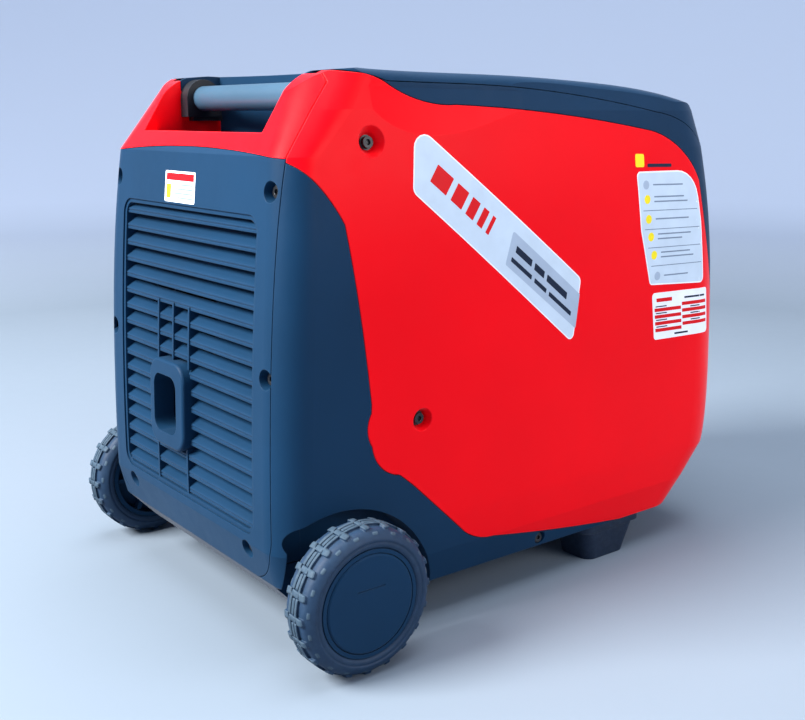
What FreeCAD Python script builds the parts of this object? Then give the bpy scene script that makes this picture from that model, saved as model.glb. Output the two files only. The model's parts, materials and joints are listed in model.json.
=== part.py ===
import FreeCAD, Part
import math
import os

# Closed inverter generator on two wheels and two feet.
# X runs along the body: the exhaust end, with the wheels, is at -X, and the control end at +X.
# Y runs across it, Z is up, and the origin is on the floor, under the centre of the whole object.
# Left is the -Y side and right is the +Y side, as seen by someone facing the control panel.
# All lengths are millimetres.

V = FreeCAD.Vector

# ---- overall casing
HALF_LENGTH = 298.0          # exhaust face and control face at their fullest
HALF_WIDTH = 178.0           # flat side walls
BASE_Z = 38.0                # underside of the casing
WALL = 3.0                   # moulded wall thickness
GAP = 0.35                   # each panel is this far back from its shut line
FACE_LOW_Z = 100.0           # both end faces start here, above the lower chamfers
SHOULDER_Z = 428.0           # the end faces stop here and the upper body leans in
REAR_LEAN = 18.5             # how far the exhaust face curves in by the shoulder
FRONT_LEAN = 22.0            # how far the control face curves in by the shoulder
FRONT_FULL_Z = 150.0         # height at which the control face is fullest
SIDE_LEAN = 8.5              # how far each side curves in by the shoulder
SIDE_FULL_Z = 290.0          # the sides are upright below this
REAR_CORNER = 30.0           # plan radius of the two exhaust-end corners
FRONT_CORNER = 67.0          # plan radius of the two control-end corners
ROOF_EDGE = 14.0             # rounding along the roof's long edges
ROOF_LOW_HALF = 165.0        # half width of the body at ROOF_LOW_Z
ROOF_LOW_Z = 465.0
ROOF_TOP_HALF = 151.5        # half width that the leaning sides reach at ROOF_TOP_Z
ROOF_TOP_Z = 510.0

# ---- exhaust end
END_HALF = 158.0             # seam of the end panel on each side
LOUVRE_HALF = 132.0          # louvre opening, half width
LOUVRE_LOW = 108.0
LOUVRE_HIGH = 381.0
LOUVRE_CORNER = 15.0
SLAT_TOP = 369.0             # centre height of the top slat
SLAT_PITCH = 15.8
SLAT_COUNT = 17
SLAT_DEPTH = 15.0
SLAT_DROP = 11.0             # each slat's outer lip hangs this far below its root
SLAT_THICK = 2.4
LIP_HIGH = 2.6               # the lip's flat face, above and below its centre
LIP_THICK = 2.2
LIP_GROOVE = 0.7
LIP_SET_BACK = 3.0
PLAIN_ROWS = 5               # slats above the outlet that run full depth from side to side
SLAT_STEPS = ((-60.0, 98.0, 12.2), (-47.0, 86.0, 9.4))     # the others are cut to this depth between these
BEZEL_Y = (-13.0, 57.0)      # outer edges of the exhaust outlet bezel
BEZEL_Z = (152.0, 236.0)
BEZEL_RIM = 14.0             # width of the bezel's face
BEZEL_PROUD = 8.5

# ---- rear hand recess and handle
RECESS_HALF = 113.0          # half width between the shoulders
RECESS_SILL_Z = 446.0
RECESS_FLOOR_Z = 418.0
RECESS_WALL_X = -184.0       # back wall at the shoulders
RECESS_WALL_MID_X = -170.0   # back wall on the centre line
HANDLE_X = -209.5
HANDLE_Z = 476.5
HANDLE_R = 12.0
BRACKET_INNER = 98.0
CHEEK_TOP = 484.0            # the red side walls of the recess end here, under the lid

# ---- wheels
WHEEL_X = -241.7
WHEEL_R = 66.0
WHEEL_OUTER = 225.6
WHEEL_INNER = 188.5
RIM_R = 47.5
CAP_R = 43.7
AXLE_R = 6.0
RUNNING = 0.06               # radial clearance of every turning fit

# ---- engine
CRANK_Z = 150.0
CYLINDER_TILT = 40.0         # lean of the cylinder towards the right side, degrees

# ---- control end
PANEL_HALF = 116.0           # half width of the control recess
PANEL_LOW = 158.0
PANEL_HIGH = 396.0
PANEL_CORNER = 22.0
PANEL_X = 262.0              # back face of the control plate
PLATE = 3.0

parts = {}


# ---------------------------------------------------------------- geometry helpers
def outline(points, axis, level):
    """Closed wire across an axis. A pair is a straight run to it, four numbers an arc: through, to."""
    def place(u, v):
        return {"x": V(level, u, v), "y": V(u, level, v), "z": V(u, v, level)}[axis]

    edges = []
    here = place(*points[0])
    for step in points[1:] + [points[0][-2:]]:
        there = place(*step[-2:])
        if there.distanceToPoint(here) < 0.001:
            continue
        if len(step) == 4:
            edges.append(Part.Arc(here, place(*step[:2]), there).toShape())
        else:
            edges.append(Part.LineSegment(here, there).toShape())
        here = there
    return Part.Wire(edges)


def prism(points, axis, low, high, inset=0.0):
    """Solid with a drawn outline, from low to high along an axis."""
    face = Part.Face(outline(points, axis, low))
    if inset:
        face = face.makeOffset2D(-inset, 0)
    direction = {"x": V(1, 0, 0), "y": V(0, 1, 0), "z": V(0, 0, 1)}[axis]
    return face.extrude(direction * (high - low))


def block(x, y, z):
    """Box from three (low, high) pairs."""
    return Part.makeBox(x[1] - x[0], y[1] - y[0], z[1] - z[0], V(x[0], y[0], z[0]))


def soft_block(x, y, z, radius):
    """Box with every edge rounded."""
    box = block(x, y, z)
    return box.makeFillet(radius, box.Edges)


def rounded(u, v, radius):
    """Outline points of a rectangle with rounded corners."""
    (u0, u1), (v0, v1) = u, v
    k = radius * (1 - math.sqrt(0.5))
    return [(u0 + radius, v0), (u1 - radius, v0), (u1 - k, v0 + k, u1, v0 + radius),
            (u1, v1 - radius), (u1 - k, v1 - k, u1 - radius, v1), (u0 + radius, v1),
            (u0 + k, v1 - k, u0, v1 - radius), (u0, v0 + radius), (u0 + k, v0 + k, u0 + radius, v0)]


def rod(start, end, radius, tip_radius=None):
    """Round bar, or a cone when the tip radius differs."""
    start, end = V(*start), V(*end)
    run = end - start
    if tip_radius is None or tip_radius == radius:
        return Part.makeCylinder(radius, run.Length, start, run)
    return Part.makeCone(radius, tip_radius, run.Length, start, run)


def tube(start, end, outer, inner):
    return rod(start, end, outer).cut(rod(start, end, inner))


def turned(points, centre, axis):
    """Solid of revolution from (radius, distance along axis) points."""
    centre, axis = V(*centre), V(*axis)
    side = V(0, 0, 1) if abs(axis.z) < 0.5 else V(1, 0, 0)
    corners = [centre + side * r + axis * d for r, d in points]
    face = Part.Face(Part.makePolygon(corners + [corners[0]]))
    return face.revolve(centre, axis, 360)


def mirror(shape):
    """The same piece on the other side of the body."""
    return shape.mirror(V(0, 0, 0), V(0, 1, 0))


def fuse(shapes):
    return shapes[0].fuse(list(shapes[1:])).removeSplitter() if len(shapes) > 1 else shapes[0]


def pair(shape):
    """A piece and its mirror image, as one node."""
    return Part.makeCompound([shape, mirror(shape)])


# ---------------------------------------------------------------- casing envelope
def rear_face(z):
    """X of the exhaust face at a height."""
    return -HALF_LENGTH + REAR_LEAN * ((z - FACE_LOW_Z) / (SHOULDER_Z - FACE_LOW_Z)) ** 2


def front_face(z):
    """X of the control face at a height."""
    return HALF_LENGTH - FRONT_LEAN * ((z - FRONT_FULL_Z) / (SHOULDER_Z - FRONT_FULL_Z)) ** 2


def side_wall(z):
    """Half width of the body at a height."""
    if z <= SIDE_FULL_Z:
        return HALF_WIDTH
    if z <= SHOULDER_Z:
        return HALF_WIDTH - SIDE_LEAN * ((z - SIDE_FULL_Z) / (SHOULDER_Z - SIDE_FULL_Z)) ** 2
    if z <= ROOF_LOW_Z:
        share = (z - SHOULDER_Z) / (ROOF_LOW_Z - SHOULDER_Z)
        return HALF_WIDTH - SIDE_LEAN + share * (ROOF_LOW_HALF - HALF_WIDTH + SIDE_LEAN)
    share = (z - ROOF_LOW_Z) / (ROOF_TOP_Z - ROOF_LOW_Z)
    return ROOF_LOW_HALF + share * (ROOF_TOP_HALF - ROOF_LOW_HALF)


def level_wire(z, rear, front, half, rear_r, front_r, inset):
    """Plan outline of the body at one height."""
    x0, x1, h = rear + inset, front - inset, half - inset
    a, b = rear_r - inset, front_r - inset
    ka, kb = a * (1 - math.sqrt(0.5)), b * (1 - math.sqrt(0.5))
    return outline([(x0 + a, -h), (x1 - b, -h), (x1 - kb, kb - h, x1, b - h), (x1, h - b),
                    (x1 - kb, h - kb, x1 - b, h), (x0 + a, h), (x0 + ka, h - ka, x0, h - a),
                    (x0, a - h), (x0 + ka, ka - h, x0 + a, -h)], "z", z)


FACE_LEVEL = (FACE_LOW_Z, rear_face(FACE_LOW_Z), 292.0, HALF_WIDTH, REAR_CORNER, FRONT_CORNER - 1)
SHOULDER_LEVEL = (SHOULDER_Z, rear_face(SHOULDER_Z), front_face(SHOULDER_Z), side_wall(SHOULDER_Z),
                  REAR_CORNER, FRONT_CORNER + 5)
LOWER_LEVELS = [(BASE_Z, -262.0, 232.0, 170.0, 24.0, 50.0), (68.0, -290.0, 260.0, 176.5, 28.0, 60.0),
                FACE_LEVEL]
MIDDLE_LEVELS = [FACE_LEVEL]
for height in (FRONT_FULL_Z, 220.0, 290.0, 360.0):
    MIDDLE_LEVELS.append((height, rear_face(height), front_face(height), side_wall(height),
                          REAR_CORNER, FRONT_CORNER + 3 * (height - FRONT_FULL_Z) / 210))
MIDDLE_LEVELS.append(SHOULDER_LEVEL)
UPPER_LEVELS = [SHOULDER_LEVEL, (ROOF_LOW_Z, -256.0, 265.0, ROOF_LOW_HALF, 42.0, 76.0),
                (ROOF_TOP_Z, -227.5, 246.0, ROOF_TOP_HALF, 46.0, 72.0)]

# side view of the cowl's slope and the rounded front edge of the roof
END_ROUNDING = [(-330, 20), (330, 20), (330, 380), (282, 414), (266, 450, 230, 471), (230, 530),
                (-195, 530), (-195, 498.7), (-220, 496.5), (-243, 483.5, -258, 463), (-330, 350)]
# height of the roof along the body, falling towards the control end
RIDGE = [(-330, 500.5), (-195, 498.5), (-18, 495.5), (60, 492.5), (134, 487.5), (199, 478),
         (240, 468), (330, 442)]


def roof_wire(x, top, inset):
    """Cross section whose upper corners are the rounded long edges of the roof."""
    r = ROOF_EDGE - inset
    k = r * (1 - math.sqrt(0.5))
    z = top - inset
    h = side_wall(top - ROOF_EDGE) - inset + 0.2
    return outline([(-200, 20), (200, 20), (200, 350), (h, z - r), (h - k, z - k, h - r, z),
                    (r - h, z), (k - h, z - k, -h, z - r), (-200, 350)], "x", x)


def envelope(inset):
    """Outer form of the whole casing, or the same form drawn in by a wall's thickness."""
    def loft(levels, ruled):
        return Part.makeLoft([level_wire(*row, inset) for row in levels], True, ruled)

    body = loft(LOWER_LEVELS, True).fuse([loft(MIDDLE_LEVELS, False), loft(UPPER_LEVELS, True)])
    body = body.removeSplitter()
    if inset:
        body = body.cut(block((-350, 350), (-250, 250), (BASE_Z - 1, BASE_Z + inset)))
    body = body.common(prism(END_ROUNDING, "y", -250, 250, inset))
    return body.common(Part.makeLoft([roof_wire(x, top, inset) for x, top in RIDGE], True, False))


outer = envelope(0.0)
inner = envelope(WALL)

# ---------------------------------------------------------------- shut lines, drawn once
# red side cover: rear edge with its latch bulge, lower edge, front wrap, then the upper sweep
COVER = [(-310, 430), (-276, 425.5), (-266, 418.5), (-247, 399.5, -229.6, 374),
         (-219, 312, -206.3, 221), (-206.6, 213), (-210.6, 201, -206, 183),
         (-197, 163, -176.5, 152), (-161.7, 139.7), (-99, 79.6), (-84, 71, -62, 66.5),
         (30, 50.5, 150, 35), (165, 20), (320, 20), (320, 205), (275, 214), (262, 275),
         (240, 338, 226, 394), (200, 423, 150, 445.5), (27, 461, -100, 469.3),
         (-145, 474.5, -170, 485), (-185, 491.5, -202, 494.5), (-235, 497.5), (-310, 497.5)]
# lower edge of the roof lid
LID = [(-226.5, 530), (-226.5, 497.2), (-202, 494.5), (-185, 491.8), (-172, 488.2), (-92, 487.3),
       (20, 481.7, 159, 463.7), (205, 452, 236, 434), (320, 428), (320, 530)]
# exhaust end panel, seen from behind: arched top and wide lower corners
END = [(-110, 66), (110, 66), (144, 80, END_HALF, 114), (END_HALF, 426.5), (0, 433.5, -END_HALF, 426.5),
       (-END_HALF, 114), (-144, 80, -110, 66)]
# red cowl above it, with sides that lean in
COWL = [(-END_HALF, 426.5), (0, 433.5, END_HALF, 426.5), (145.5, 499), (145.5, 530), (-145.5, 530),
        (-145.5, 499)]
ARCH = [(-287, 20), (-288.5, 104), (-287.5, 121, -279, 125), (-229, 131.5, -176.5, 110),
        (-151, 81, -136.5, 46), (-134, 20)]
ARCH_FLOOR = 148.0           # the wheel well's flat wall
BASE_HALF = 104.0            # seam between the base tray and the lower casings
WRAP_HALF = 132.0            # the side covers reach this far round the control end


def arch_pocket(inset, depth):
    """The wheel well's space on the left side, or that space with the liner's thickness."""
    return prism(ARCH, "y", -HALF_WIDTH - 30, -depth, inset)


def recess_pocket(grow):
    """The rear hand space: open to the rear and the top, with a deeper trough under the bar."""
    half = RECESS_HALF + grow
    wall, wall_mid = RECESS_WALL_X + grow, RECESS_WALL_MID_X + grow
    plan = [(-340, -half), (wall, -half), (wall_mid, 0, wall, half), (-340, half)]
    trough = [(-254 - grow, -half), (wall, -half), (wall_mid, 0, wall, half), (-254 - grow, half)]
    return fuse([prism(plan, "z", RECESS_SILL_Z - grow, 540),
                 prism(trough, "z", RECESS_FLOOR_Z - grow, 470)])


# front finger pocket under the leading edge of the lid
FRONT_PULL = [(-112, 112), (436, 455)]
FRONT_PULL_X = 226.0


def pull_pocket(grow):
    y, z = FRONT_PULL
    space = rounded((y[0] - grow, y[1] + grow), (z[0] - grow, z[1] + grow), 8 + grow)
    return prism(space, "x", FRONT_PULL_X - grow, 330)


shell = outer.cut(inner)
liners = [recess_pocket(WALL), arch_pocket(-WALL, ARCH_FLOOR - WALL), pull_pocket(WALL)]
liners.append(mirror(liners[1]))
shell = shell.fuse([outer.common(liner) for liner in liners]).removeSplitter()
for pocket in (recess_pocket(0), arch_pocket(0, ARCH_FLOOR), mirror(arch_pocket(0, ARCH_FLOOR)),
               pull_pocket(0)):
    shell = shell.cut(pocket)

# ---------------------------------------------------------------- recessed casing screws
screws = []


def recess_screw(panel, point, outward, mouth, floor, depth):
    """Sink a conical screw pocket into a panel, with a cup behind it and a hex-socket screw in it."""
    point, outward = V(*point), V(*outward)
    bottom = point - outward * depth
    widen = (mouth - floor) / depth
    cavity = Part.makeCone(floor, mouth + 3 * widen, depth + 3, bottom, outward)
    cup = Part.makeCone(floor + 2, mouth + 2, depth + 2, bottom - outward * 2, outward)
    cup = cup.common(outer)
    hole = Part.makeCylinder(2.6, 12, bottom - outward * 8, outward)
    head = Part.makeCylinder(5.0, 4.0, bottom, outward)
    socket = Part.makeCylinder(2.4, 3.0, bottom + outward * 2.0, outward)
    washer = Part.makeCylinder(min(floor - 0.4, 6.6), 0.8, bottom, outward)
    shank = Part.makeCylinder(2.5, 9.0, bottom - outward * 9, outward)
    screws.append(fuse([head, washer, shank]).cut(socket))
    return panel.fuse(cup).cut(cavity).cut(hole).removeSplitter()


# ---------------------------------------------------------------- casing panels
def side_prism(points, inset, depth):
    """An outline seen from the side, cut through the left wall only."""
    return prism(points, "y", -HALF_WIDTH - 30, -depth, inset)


end_region = prism(END, "x", -320, -262, GAP)
cowl_region = prism(COWL, "x", -320, -227 - GAP, GAP)
taken = [prism(END, "x", -320, -262, -GAP), prism(COWL, "x", -320, -227 + GAP, -GAP)]
lid_region = prism(LID, "y", -200, 200, GAP)
lid_taken = prism(LID, "y", -200, 200, -GAP)

# side covers
cover = shell.common(side_prism(COVER, GAP, WRAP_HALF + GAP)).cut(taken[0]).cut(taken[1])
cover = recess_screw(cover, (-197.5, -side_wall(439.5), 439.5), (0, -1, 0.12), 13.0, 6.8, 9)
cover = recess_screw(cover, (-151, -HALF_WIDTH, 198), (0, -1, 0), 10.5, 7.0, 9)
left_screws = list(screws)
parts["side_cover_left"] = cover

# the recoil grip sits in a pocket of the right cover only
GRIP_X = 170.0
GRIP_Z = 191.5
GRIP_POCKET = rounded((GRIP_X - 58, GRIP_X + 46), (GRIP_Z - 24, GRIP_Z + 24), 12)
GRIP_FLOOR = 152.0
right_cover = mirror(cover)
cup = prism(GRIP_POCKET, "y", GRIP_FLOOR - WALL, 190, -WALL).common(outer)
right_cover = right_cover.fuse(cup).cut(prism(GRIP_POCKET, "y", GRIP_FLOOR, 200))
right_cover = right_cover.cut(rod((GRIP_X, 140, GRIP_Z), (GRIP_X, 160, GRIP_Z), 4.0)).removeSplitter()
parts["side_cover_right"] = right_cover

# dark lower casings with the wheel wells
REST_OF_SIDE = [(-320, 20), (231, 20), (231, 60), (150, 120), (-150, 430), (-320, 430)]
casing = shell.common(side_prism(REST_OF_SIDE, 0, BASE_HALF + GAP))
casing = casing.cut(side_prism(COVER, -GAP, WRAP_HALF - GAP)).cut(taken[0]).cut(taken[1])
casing = casing.cut(rod((WHEEL_X, -190, WHEEL_R), (WHEEL_X, -100, WHEEL_R), AXLE_R + RUNNING))
casing = recess_screw(casing, (5, -171.5, 46.5), (0, -1, 0.1), 6.6, 5.4, 6)
left_screws.append(screws[-1])
parts["lower_casing_left"] = max(casing.Solids, key=lambda solid: solid.Volume)
parts["lower_casing_right"] = mirror(parts["lower_casing_left"])

# base tray between them, with stiffening ribs
tray = shell.common(block((-300, 231), (-BASE_HALF + GAP, BASE_HALF - GAP), (30, 65.5)))
ribs = [block((-240, 215), (y - 1.5, y + 1.5), (BASE_Z + 2, 54)) for y in (-30, 0, 30)]
parts["base_tray"] = fuse([tray] + ribs).cut(rod((WHEEL_X, -190, WHEEL_R), (WHEEL_X, 190, WHEEL_R), 9))

# rear cowl: shoulders, sill and floor of the hand recess
cheek = block((-240, RECESS_WALL_X - GAP), (RECESS_HALF - 1, RECESS_HALF + WALL + 1),
              (RECESS_FLOOR_Z - WALL - 1, CHEEK_TOP - GAP))
cowl = fuse([shell.common(cowl_region), shell.common(cheek), shell.common(mirror(cheek))])
parts["rear_cowl"] = max(cowl.Solids, key=lambda solid: solid.Volume)

# front frame: the dark band that runs forward along both sides and down round the control end
frame = shell.common(block((-185, 320), (-200, 200), (66, 520))).cut(lid_taken)
for side in (side_prism(COVER, -GAP, WRAP_HALF - GAP), mirror(side_prism(COVER, -GAP, WRAP_HALF - GAP))):
    frame = frame.cut(side)
front_side = [(-185, 520), (320, 520), (320, 148), (250, 148), (180, 300), (-60, 440), (-185, 470)]
frame = frame.common(prism(front_side, "y", -200, 200))
window = rounded((-PANEL_HALF, PANEL_HALF), (PANEL_LOW, PANEL_HIGH), PANEL_CORNER)
frame = frame.cut(prism(window, "x", 240, 320))
parts["front_frame"] = max(frame.Solids, key=lambda solid: solid.Volume)

# lower front panel with its cooling-air louvres
front = shell.common(block((231 + 2 * GAP, 320), (-WRAP_HALF + GAP, WRAP_HALF - GAP), (30, 148 - 2 * GAP)))
for row in range(5):
    low = 104 + 8 * row
    front = front.cut(prism(rounded((-96, 96), (low, low + 4.4), 2.1), "x", 260, 320))
parts["front_panel"] = front

# roof lid with the back wall of the rear recess and the front finger pocket
lid = shell.common(block((-226.5, 320), (-200, 200), (400, 520)))
BACK_HALF = RECESS_HALF + WALL + 0.5
back_wall = shell.common(block((-226.5, -150), (-BACK_HALF, BACK_HALF), (400, 520)))
cheek_gap = block((-250, RECESS_WALL_X), (RECESS_HALF - 2, RECESS_HALF + WALL + 2),
                  (RECESS_FLOOR_Z - WALL - 2, CHEEK_TOP))
back_wall = back_wall.cut(cheek_gap).cut(mirror(cheek_gap))
lid = lid.common(lid_region).fuse(back_wall)
lid = lid.fuse(pull_pocket(WALL).common(outer)).cut(pull_pocket(0))
CAP_X, CAP_Y = 72.0, 52.0
WELL_R = 45.0
WELL_FLOOR = 467.0
CAP_TOP = 488.5
lid = lid.fuse(rod((CAP_X, CAP_Y, WELL_FLOOR - WALL), (CAP_X, CAP_Y, 510), WELL_R + WALL).common(outer))
lid = lid.cut(rod((CAP_X, CAP_Y, WELL_FLOOR), (CAP_X, CAP_Y, 520), WELL_R))
NECK_R = 25.0
lid = lid.cut(rod((CAP_X, CAP_Y, WELL_FLOOR - 10), (CAP_X, CAP_Y, WELL_FLOOR + 5), NECK_R + 1))
for x, y, z in ((-86, 94, 496.7), (161, 110, 484.2)):
    for side in (1, -1):
        lid = recess_screw(lid, (x, side * y, z), (0, 0, 1), 10.0, 7.0, 7)
parts["top_lid"] = max(lid.Solids, key=lambda solid: solid.Volume)

# exhaust end panel
end_panel = shell.common(end_region)
louvre = rounded((-LOUVRE_HALF, LOUVRE_HALF), (LOUVRE_LOW, LOUVRE_HIGH), LOUVRE_CORNER)
end_panel = end_panel.fuse(prism(louvre, "x", -320, -274, -WALL).common(outer)).cut(
    prism(louvre, "x", -320, -250))
for y, z in ((147, 401), (151, 250), (117, 93)):
    for side in (1, -1):
        lean = 0.05 if z > 110 else -0.12
        point = (rear_face(max(z, FACE_LOW_Z)) + (1.2 if y > 140 else 1.4), side * y, z)
        end_panel = recess_screw(end_panel, point, (-1, side * 0.05, lean), 8.6, 6.6, 9)
parts["exhaust_end_panel"] = end_panel.common(prism(END, "x", -320, -240, GAP))


# ---------------------------------------------------------------- exhaust end details
def face_slice(points, proud, depth, inset=0.0):
    """A drawn shape that follows the curved exhaust face, from proud of it to a depth behind it."""
    levels = [92 + 8 * step for step in range(44)]
    side = [(rear_face(z) - proud, z) for z in levels]
    side += [(rear_face(z) + depth, z) for z in reversed(levels)]
    return prism(points, "x", -330, -230, inset).common(prism(side, "y", -200, 200))


grille_space = prism(rounded((-LOUVRE_HALF, LOUVRE_HALF), (LOUVRE_LOW, LOUVRE_HIGH), LOUVRE_CORNER), "x",
                     -320, -240, GAP)


def slat(row):
    """One sloping louvre slat with a grooved outer lip. Rows near the outlet are shallower beside it."""
    z = SLAT_TOP - SLAT_PITCH * row
    lip = rear_face(z) + LIP_SET_BACK
    half = SLAT_THICK / 2
    side = [(lip, z - LIP_HIGH), (lip + LIP_THICK, z - LIP_HIGH), (lip + LIP_THICK, z + half),
            (lip + SLAT_DEPTH, z + SLAT_DROP - half), (lip + SLAT_DEPTH, z + SLAT_DROP + half),
            (lip + LIP_GROOVE, z + LIP_HIGH), (lip, z + LIP_HIGH - LIP_GROOVE), (lip, z + LIP_GROOVE),
            (lip + LIP_GROOVE, z), (lip, z - LIP_GROOVE)]
    made = prism(side, "y", -LOUVRE_HALF + 2, LOUVRE_HALF - 2).common(grille_space)
    if row < PLAIN_ROWS:
        return made
    for low, high, depth in SLAT_STEPS:
        made = made.cut(block((lip + depth, lip + 30), (low, high), (z - 10, z + 20)))
    return made


def upright(y, low, high, thick, front, depth):
    return face_slice([(y - thick / 2, low), (y + thick / 2, low), (y + thick / 2, high),
                       (y - thick / 2, high)], -front, depth)


bezel_area = rounded(BEZEL_Y, BEZEL_Z, 18)
rim = face_slice(louvre, -1.5, 19, GAP).cut(prism(louvre, "x", -330, -230, 4.0))
grille = [rim] + [slat(row) for row in range(SLAT_COUNT)]
for y in (-LOUVRE_HALF * 0.62, -LOUVRE_HALF * 0.31, LOUVRE_HALF * 0.31, LOUVRE_HALF * 0.62):
    grille.append(upright(y, LOUVRE_LOW + 1, LOUVRE_HIGH - 1, 2.4, 14.0, 19))
RIB_TOP = SLAT_TOP - PLAIN_ROWS * SLAT_PITCH
for y in (52.6, 21.5, -10.3):
    grille.append(upright(y, BEZEL_Z[1] - 4, RIB_TOP, 3.0, 2.0, 17))
for y in (57.0, -5.0):
    grille.append(upright(y, LOUVRE_LOW + 1, BEZEL_Z[0] + 4, 3.0, 2.0, 17))
grille = fuse(grille).cut(prism(bezel_area, "x", -330, -230, -GAP))
parts["louvre_grille"] = grille.common(outer)

hole = rounded((BEZEL_Y[0] + BEZEL_RIM, BEZEL_Y[1] - BEZEL_RIM + 4),
               (BEZEL_Z[0] + BEZEL_RIM, BEZEL_Z[1] - BEZEL_RIM), 12)
bezel = face_slice(bezel_area, BEZEL_PROUD - WALL, 15)
bezel_front = [edge for edge in bezel.Edges if edge.BoundBox.XMax < rear_face(194) - 2
               and edge.BoundBox.DiagonalLength > 6]
parts["exhaust_bezel"] = bezel.makeFillet(3.0, bezel_front).cut(prism(hole, "x", -330, -230))

# ---------------------------------------------------------------- handle
bar_ends = ((HANDLE_X, -BRACKET_INNER - 6, HANDLE_Z), (HANDLE_X, BRACKET_INNER + 6, HANDLE_Z))
parts["handle_bar"] = tube(*bar_ends, HANDLE_R, HANDLE_R - 2.2)
BRACKET_R = 18.5
BRACKET = [(HANDLE_X - BRACKET_R, 459), (HANDLE_X + BRACKET_R, 459), (HANDLE_X + BRACKET_R, HANDLE_Z),
           (HANDLE_X, HANDLE_Z + BRACKET_R, HANDLE_X - BRACKET_R, HANDLE_Z)]
bracket = prism(BRACKET, "y", -RECESS_HALF + 0.05, -BRACKET_INNER)
bracket_foot = block((HANDLE_X - 10, HANDLE_X + 22), (-RECESS_HALF + 0.05, -BRACKET_INNER - 5), (455, 460))
bracket = bracket.fuse(bracket_foot)
bracket = bracket.cut(rod((HANDLE_X, -BRACKET_INNER - 6, HANDLE_Z), (HANDLE_X, -80, HANDLE_Z), HANDLE_R))
parts["handle_brackets"] = pair(bracket.removeSplitter())

# ---------------------------------------------------------------- feet
FOOT_X = (77.0, 140.0)
FOOT_Y = (-171.0, -124.0)


def foot():
    """Moulded rubber foot, tapered, with a flange under the base."""
    low = outline(rounded((FOOT_X[0] + 4, FOOT_X[1]), (FOOT_Y[0] + 3, FOOT_Y[1]), 12), "z", 0)
    high = outline(rounded((FOOT_X[0] - 5, FOOT_X[1] + 12), (FOOT_Y[0] - 0.5, FOOT_Y[1] + 2), 14), "z", 31)
    body = Part.makeLoft([low, high], True, True)
    top = rounded((FOOT_X[0] - 6, FOOT_X[1] + 24), (FOOT_Y[0] + 1.5, FOOT_Y[1] + 4), 14)
    body = body.fuse(prism(top, "z", 31, BASE_Z))
    return body.cut(rod((108, -148, -1), (108, -148, 6), 9)).removeSplitter()


parts["rubber_feet"] = pair(foot())


# ---------------------------------------------------------------- wheels
def on_axle(points):
    return turned(points, (WHEEL_X, 0, WHEEL_R), (0, -1, 0))


tyre = on_axle([(RIM_R, 190.5), (RIM_R + 2, WHEEL_INNER), (WHEEL_R - 7, WHEEL_INNER), (WHEEL_R - 2, 190.5),
                (WHEEL_R, 194.5), (WHEEL_R, 218), (WHEEL_R - 2.5, 222.5), (WHEEL_R - 8, 225),
                (RIM_R + 3, WHEEL_OUTER), (RIM_R, 224)])
HUB_R = 14.0
HUB_INNER = 186.0
rim_ring = on_axle([(43.0, 190.5), (RIM_R, 190.5), (RIM_R, 224.3),
                    (CAP_R + 0.25, 224.3), (CAP_R + 0.25, 216),
                    (40.5, 216), (40.5, 206), (43.0, 203)])
hub = on_axle([(AXLE_R + RUNNING, HUB_INNER), (HUB_R, HUB_INNER),
               (HUB_R, 210.5), (AXLE_R + RUNNING, 210.5)])
web = on_axle([(HUB_R - 1, 203), (41.5, 203), (41.5, 206.5), (HUB_R - 1, 206.5)])
wheel_spokes = []
for turn in range(6):
    spoke = block((WHEEL_X + HUB_R - 1, WHEEL_X + 42), (-204, -192), (WHEEL_R - 2, WHEEL_R + 2))
    spoke.rotate(V(WHEEL_X, 0, WHEEL_R), V(0, 1, 0), 60 * turn)
    wheel_spokes.append(spoke)
rim_solid = fuse([rim_ring, hub, web] + wheel_spokes)
cap = on_axle([(0, 220.4), (34, 220.4), (34, 216.2), (37, 216.2), (37, 220.4), (CAP_R - 0.4, 220.4),
               (CAP_R - 0.4, 224), (CAP_R - 1.8, 225.2), (0, 225.2)])
cap = cap.cut(block((WHEEL_X - 14, WHEEL_X + 14), (-226, -224.5), (WHEEL_R + 13, WHEEL_R + 14.2)))
for name, piece in (("tyre", tyre), ("rim", rim_solid), ("hub_cap", cap)):
    parts[name + "_left"] = piece
    parts[name + "_right"] = mirror(piece)
AXLE_END = 214.0
axle = rod((WHEEL_X, -AXLE_END, WHEEL_R), (WHEEL_X, AXLE_END, WHEEL_R), AXLE_R)
CLIP_Y = 211.2
groove = tube((WHEEL_X, -CLIP_Y - 1.2, WHEEL_R), (WHEEL_X, -CLIP_Y, WHEEL_R), 8, 4.9)
parts["axle"] = axle.cut(groove).cut(mirror(groove))
clip = tube((WHEEL_X, -CLIP_Y - 1.1, WHEEL_R), (WHEEL_X, -CLIP_Y - 0.1, WHEEL_R), 9.5, 5.0)
spacer = tube((WHEEL_X, -HUB_INNER + 0.4, WHEEL_R), (WHEEL_X, -ARCH_FLOOR - 0.1, WHEEL_R), 9, AXLE_R)
parts["axle_fittings"] = Part.makeCompound([clip, spacer, mirror(clip), mirror(spacer)])

# ---------------------------------------------------------------- control panel
tray_area = prism(window, "x", PANEL_X, 320, -WALL).common(envelope(WALL + GAP))
panel = tray_area.cut(prism(window, "x", PANEL_X + PLATE, 320, 0.4))
FACE = PANEL_X + PLATE


def on_face(y, z, radius, low, high):
    """Round bar standing on the control plate, from low to high above its face."""
    return rod((FACE + low, y, z), (FACE + high, y, z), radius)


SOCKET_Y = (-78.0, -16.0)
SOCKET_Z = 262.0
SOCKET_R = 20.0
DIAL = (66.0, 350.0)
BUTTON = (4.0, 366.0)
ROCKER = (4.0, 334.0)
BREAKER = (52.0, 270.0)
LAMPS = ((84, 286), (84, 272), (84, 258))
DISPLAY = ((-104, -30), (326, 380))
PORTS_Y = (-92.0, -22.0)
PORTS_Z = (184.0, 206.0)
EARTH = (90.0, 186.0)

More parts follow.
